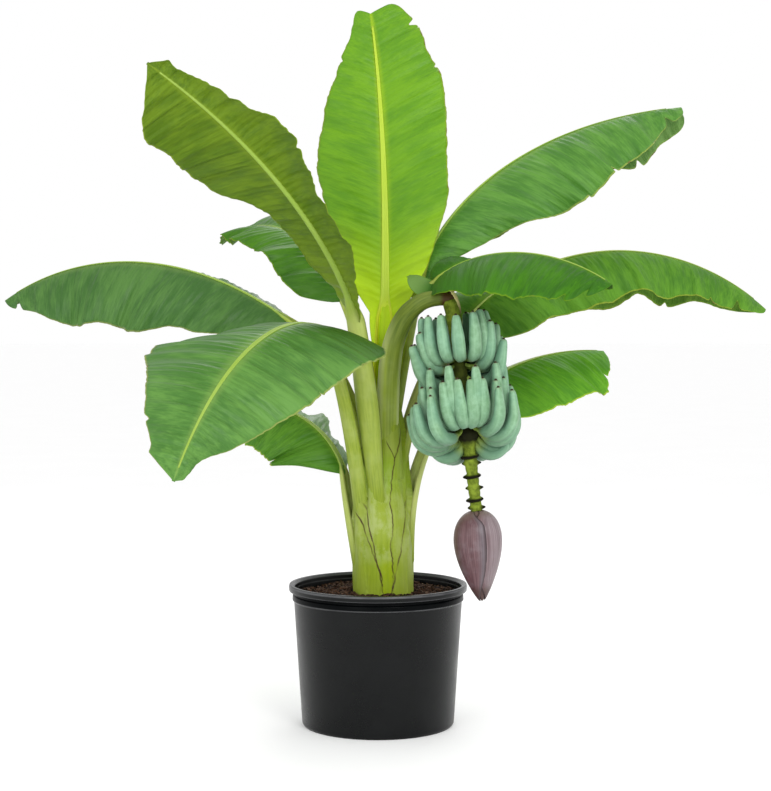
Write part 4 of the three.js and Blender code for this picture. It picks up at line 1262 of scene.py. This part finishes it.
def add_tip(shape, rings, kind):
    """The dry end of the flower, left on a fruit's tip."""
    end, before = rings[-1].mean(0), rings[-2].mean(0)
    way = unit(end - before)
    ring = rings[-1][::3] - end
    sizes_and_heights = ((0.9, -0.0005), (0.50, 0.0015), (0.60, 0.003), (0.2, 0.004))
    stub = [end + ring * size + way * height for size, height in sizes_and_heights]
    shape.ring_skin(np.array(stub)[:, ::-1], kinds=kind)


def bud_radius(s):
    """The bud's radius at stations from its neck to its tip."""
    return 0.0545 * np.sin(math.pi * (0.012 + 0.974 * s) ** 0.62) ** 0.78


def bud_spine(s):
    """Points on the bud's axis at stations from its neck to its tip."""
    return BUD_NECK - (0.001, 0, 0) + BUD_AXIS * (0.0005 + s[:, None] * BUD_LENGTH)


def make_bud(material):
    """The bud's core and the bracts that wrap it, with the last over the others."""
    s = np.linspace(0, 1, 70)
    rings = round_rings(bud_spine(s), np.maximum(bud_radius(s) - 0.002, 0.001), FRONT, 48)
    shape = Shape()
    shape.ring_skin(rings[:, ::-1])
    for bract in BRACTS:
        add_bract(shape, *bract)
    shape.piece("bud_bracts", [material], ["flower_bud"])


def add_bract(shape, turn, spread, last, lift):
    """A thin shell that wraps part of the bud, from its neck to its pointed tip."""
    rows, half = 60, 22
    s = np.linspace(0, last, rows)
    t = np.linspace(0, 1, rows)
    across = np.linspace(-1, 1, half)
    fan = spread * (1 - t**7) ** 0.6 * smooth(0.55 + t * 3)
    angle = turn + fan[:, None] * across
    edge = 1 - np.abs(across)
    radius = bud_radius(s)[:, None] + lift + 0.0011 * smooth(edge / 0.08)
    way = np.cos(angle)[..., None] * FRONT - np.sin(angle)[..., None] * SIDE
    outer, inner = (bud_spine(s)[:, None] + (radius - depth)[..., None] * way for depth in (0.0, 0.0022))
    rings = np.concatenate([outer, inner[:, ::-1]], 1)
    seam = there_and_back(bell(edge, 0.062))
    bloom = 0.8 * there_and_back(bell(edge - 0.13, 0.055) * (across < 0))
    # Painted light: each bract is paler and greyer on its right side, towards the key lamp.
    lit_side = 0.7 * smooth(0.15 - 1.3 * np.sin(np.concatenate([angle, angle[:, ::-1]], 1)))
    marks = marked(rows, half * 2, seam, lit_side, bloom)
    v = np.append(there_and_back(across), across[0]) * 0.5 * spread / math.pi + 0.3 * turn
    shape.ring_skin(rings, u=s, v=v, marks=marks)


# ---------------------------------------- stage


def make_stage():
    """A pale floor that reaches far behind the plant. A faint glow keeps it as white as the world."""
    sides = 64
    rings = turned_rings([(0.05, 0.0), (6.0, 0.0), (30.0, 0.0), (90.0, 0.0)], sides)
    faces, row, column = lattice(len(rings), sides)
    place = np.stack([row, column], -1) / sides
    shape = Shape()
    shape.add(rings, faces[:, ::-1], 0, place, place)
    f = Finish("floor_pale", 0.9)
    f.colour(f.mix(f.local(2.0), rgb(0.86, 0.86, 0.86), rgb(0.89, 0.89, 0.89)))
    f.shader.inputs["Emission Color"].default_value = (1.0, 1.0, 1.0, 1.0)
    f.shader.inputs["Emission Strength"].default_value = 0.10
    shape.thing("floor", [f.material])


def add_light(name, place, target, size, power):
    """A round lamp of a given width and power, turned to its target."""
    data = bpy.data.lights.new(name, "AREA")
    data.shape = "DISK"
    data.size = size
    data.energy = power
    lamp = bpy.data.objects.new(name, data)
    bpy.context.scene.collection.objects.link(lamp)
    aim(lamp, place, target)


def aim(thing, place, target):
    thing.location = place
    thing.rotation_euler = (Vector(target) - Vector(place)).to_track_quat("-Z", "Y").to_euler()


def make_view():
    """The lamps, the white world, and the camera, which looks from where the photo was taken."""
    middle = (0.0, 0.0, 0.9)
    add_light("key", (1.9, -4.4, 2.9), middle, 2.2, 96)
    add_light("fill", (-2.3, -4.3, 1.7), middle, 2.6, 50)
    add_light("rear", (0.6, 3.2, 3.4), middle, 2.6, 46)
    world = bpy.data.worlds.new("studio")
    world.use_nodes = True
    sky = world.node_tree.nodes["Background"]
    sky.inputs[0].default_value = (1.0, 1.0, 1.0, 1.0)
    sky.inputs[1].default_value = 1.0
    scene = bpy.context.scene
    scene.world = world
    scene.view_settings.view_transform = "Standard"
    data = bpy.data.cameras.new("camera")
    data.sensor_fit = "VERTICAL"
    data.sensor_height = 36.0
    data.lens = 79.6
    camera = bpy.data.objects.new("camera", data)
    scene.collection.objects.link(camera)
    aim(camera, (0.018, -4.2, 0.96), (0.018, 0.0, 0.793))
    scene.camera = camera


# ---------------------------------------- the plant

make_view()
make_stage()
# The pot's painted highlights, pale lines along the edges of the lip and the bead: depth below the lip, spread
# and share.
POT_EDGE_HIGHLIGHTS = [(0.0035, 0.0035, 0.75), (0.0152, 0.0022, 0.5), (0.0375, 0.0024, 0.55)]
make_pot(pot_finish("black_plastic", 0.20, POT_EDGE_HIGHLIGHTS), pot_finish("plastic_recess_painted_shade", 0.04))
bark = mottled_finish("bark_brown", rgb(0.080, 0.040, 0.022), rgb(0.016, 0.008, 0.005), 0.85, 60, 0.002)
pale_bark = mottled_finish("bark_pale", rgb(0.26, 0.18, 0.12), rgb(0.09, 0.055, 0.035), 0.85, 60, 0.002)
earth = mottled_finish("earth_dark", rgb(0.020, 0.012, 0.007), rgb(0.006, 0.004, 0.003), 0.95, 90, 0.006)
make_soil(earth, [
    (bark, 1500, (0.016, 0.008, 0.005)),
    (pale_bark, 260, (0.016, 0.0022, 0.0018)),
    (earth, 900, (0.007, 0.006, 0.005)),
])
make_stem(stem_finish())
make_leaves()
make_arch(limb_finish("arch_green", ARCH_GREENS, rgb(0.50, 0.57, 0.22)))
make_dry_bract(dry_finish())
make_hanging_stalk(rachis_finish())
neck = mottled_finish("fruit_neck", rgb(0.24, 0.34, 0.06), rgb(0.12, 0.18, 0.035), 0.55, 80, 0.0008)
tip = mottled_finish("fruit_tip", rgb(0.075, 0.05, 0.03), rgb(0.025, 0.017, 0.012), 0.8, 200, 0.001)
make_fruit(fruit_finish(), neck, tip)
make_bud(bud_finish())
